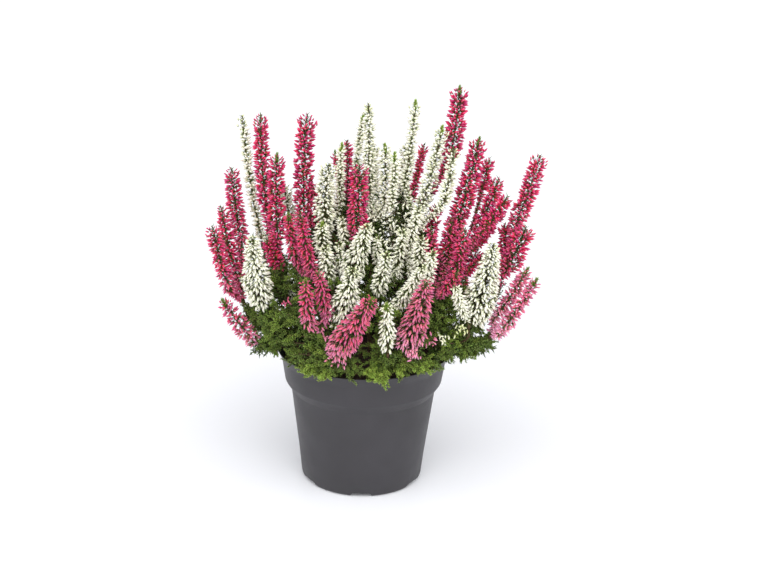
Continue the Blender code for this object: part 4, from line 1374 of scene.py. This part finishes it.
def make_pot():
    """Turn the profile, lift the grooves, cut the holes, and keep only steep edges sharp."""
    points, faces = turned(pot_profile(), ROUND_SIDES)
    mesh = new_mesh("nursery_pot", lift_grooves(points), faces)
    pot = dress("nursery_pot", mesh, [pot_plastic], ["pot"])
    drained(pot)
    pot.data.shade_smooth()
    pot.data.set_sharp_from_angle(angle=math.radians(SHARP_EDGE))
    return len(pot.data.polygons)


print("pot with", make_pot(), "faces")

# %% [markdown]
# ## Soil
# The peat lies a finger's width below the rim. A flat disc would catch the light like card, so the
# top of the block is lifted by layers of waves in many directions, and loose crumbs lie on it.


# %% Uneven ground
WAVES, WAVE_GAIN = 9, 1.6
COARSE, FINE = (0.9, 4.0, 1), (0.5, 1.5, 2)
SOIL_RINGS, SOIL_FOOT_ROOM, SOIL_MIDDLE = 26, 2.8, 1.5
CRUMBS, CRUMB_SIZES = 400, (0.7, 2.2)
SOIL_EDGE = outer_wall(SOIL_TOP) - WALL - GAP


def lumps(places, height, size, seed):
    """Uneven ground: the mean of nine sine waves that run in random directions."""
    chance = np.random.default_rng(seed)
    waves = chance.normal(0, 1 / size, (WAVES, 2))
    phase = chance.uniform(0, math.tau, WAVES)
    return height * (np.sin(places @ waves.T + phase).mean(axis=1) * WAVE_GAIN)


def ground(places):
    """The height of the peat at each place: a low crown with coarse and fine lumps."""
    crown = SOIL_CROWN * (1 - (np.linalg.norm(places, axis=1) / SOIL_EDGE) ** 2)
    return SOIL_TOP + crown + lumps(places, *COARSE) + lumps(places, *FINE)


def crumbs(chance):
    """Loose crumbs: little spindles turned at random, half sunk, spread evenly by area."""
    spread = np.sqrt(chance.uniform(0.02, 0.96, CRUMBS)) * (SOIL_EDGE - 1.5)
    turn = chance.uniform(0, math.tau, CRUMBS)
    flat = np.stack([spread * np.cos(turn), spread * np.sin(turn)], -1)
    size = chance.uniform(*CRUMB_SIZES, CRUMBS)
    crumb = spindle(np.array([0.25, 0.7]), np.array([0.42, 0.38]), 5, bend=0.2)
    frames = frames_towards(chance.normal(0, 1, (CRUMBS, 3)), chance.normal(0, 1, (CRUMBS, 3)))
    places = np.column_stack([flat, ground(flat) + 0.1]) - 0.5 * size[:, None] * frames[:, 2]
    return copies(crumb, places, frames, np.repeat(size[:, None], 3, axis=1))


print("the peat's middle is", round(float(ground(np.zeros((1, 2)))[0]), 1), "mm up")


# %% Make the soil
def make_soil():
    """A turned block that fills the pot's inside, with its top raised to the ground's height."""
    side = [(outer_wall(height) - WALL - GAP, height)
            for height in (2 * FLOOR, STEP_HEIGHT, COLLAR_BOTTOM, 84)]
    top = [(radius, SOIL_TOP) for radius in np.linspace(SOIL_EDGE, SOIL_MIDDLE, SOIL_RINGS)]
    foot = [(0, FLOOR + GAP), (FOOT_RADIUS - WALL - SOIL_FOOT_ROOM, FLOOR + GAP)]
    points, faces = turned(np.array(foot + side + top + [(0, SOIL_TOP)], float), ROUND_SIDES)
    upper = points[:, 2] > SOIL_TOP - 1
    points[upper, 2] = ground(points[upper, :2])
    heap = Heap()
    heap.add((points, faces, 0 * points[:, 0]))
    heap.add(crumbs(np.random.default_rng(SEED)))
    dress("peat_soil", heap.mesh("peat_soil"), [peat], ["soil"])
    return heap.triangles()


print("soil with", make_soil(), "triangles")

# %% [markdown]
# ## Floor and light
# The photograph was taken in a white studio, on a pale sweep that keeps hardly a shadow. A few
# small lamps would draw hard shadows. Four very wide suns, at the left, the right, the front and
# high up, light plant and floor alike from all the sides that a row of large softboxes does. The
# front one is strongest, and the floor glows very faintly so that it stays nearly white.


# %% Floor
FLOOR_RINGS = (8000, 4000, 1500, 400)
FLOOR_THICK, FLOOR_GLOW = 60, 0.03


def make_floor():
    """A wide flat disc, faintly mottled: a turned profile of a side wall and a level top."""
    finish, tree, shader = new_finish("studio_floor")
    fill(tree, shader, {
        "Base Color": mixed(tree, mottled(tree, 3.0), srgb(242, 243, 246), srgb(246, 247, 250)),
        "Roughness": 0.35, "Specular IOR Level": 0.3,
        "Emission Color": srgb(250, 251, 255), "Emission Strength": FLOOR_GLOW})
    profile = [(0, -FLOOR_THICK), (FLOOR_RINGS[0], -FLOOR_THICK)]
    profile += [(radius, 0) for radius in (*FLOOR_RINGS, 0)]
    mesh = new_mesh("studio_floor", *turned(np.array(profile, float), 64))
    floor = bpy.data.objects.new("studio_floor", mesh)
    mesh.materials.append(finish)
    mesh.set_sharp_from_angle(angle=math.radians(30))
    bpy.context.scene.collection.objects.link(floor)


make_floor()
print("floor", 2 * FLOOR_RINGS[0] * MM, "m across")

# %% Lights
# Each light's turn to the right of the camera, height in degrees, and strength
LIGHTS = {"left_light": (-62, 32, 0.65), "right_light": (62, 32, 0.75),
          "front_light": (0, 34, 1.5), "high_light": (0, 66, 0.9)}
LIGHT_WIDTH, WORLD_LIGHT = 60, 0.58


def make_sun(name, azimuth, elevation, strength):
    """A far, wide light: it lights the whole floor alike and its shadows are soft."""
    data = bpy.data.lights.new(name, "SUN")
    data.angle, data.energy = math.radians(LIGHT_WIDTH), strength
    light = bpy.data.objects.new(name, data)
    turn, rise = math.radians(azimuth), math.radians(elevation)
    place = Vector((math.sin(turn) * math.cos(rise), -math.cos(turn) * math.cos(rise),
                    math.sin(rise)))
    light.rotation_euler = place.to_track_quat("Z", "Y").to_euler()
    bpy.context.scene.collection.objects.link(light)


def make_world(strength):
    """An even, slightly cool light from everywhere."""
    world = bpy.data.worlds.new("studio")
    world.use_nodes = True
    fill(world.node_tree, world.node_tree.nodes["Background"],
         {"Color": srgb(250, 251, 255), "Strength": strength})
    bpy.context.scene.world = world


for name, settings in LIGHTS.items():
    make_sun(name, *settings)
make_world(WORLD_LIGHT)
bpy.context.scene.view_settings.view_transform = "Standard"
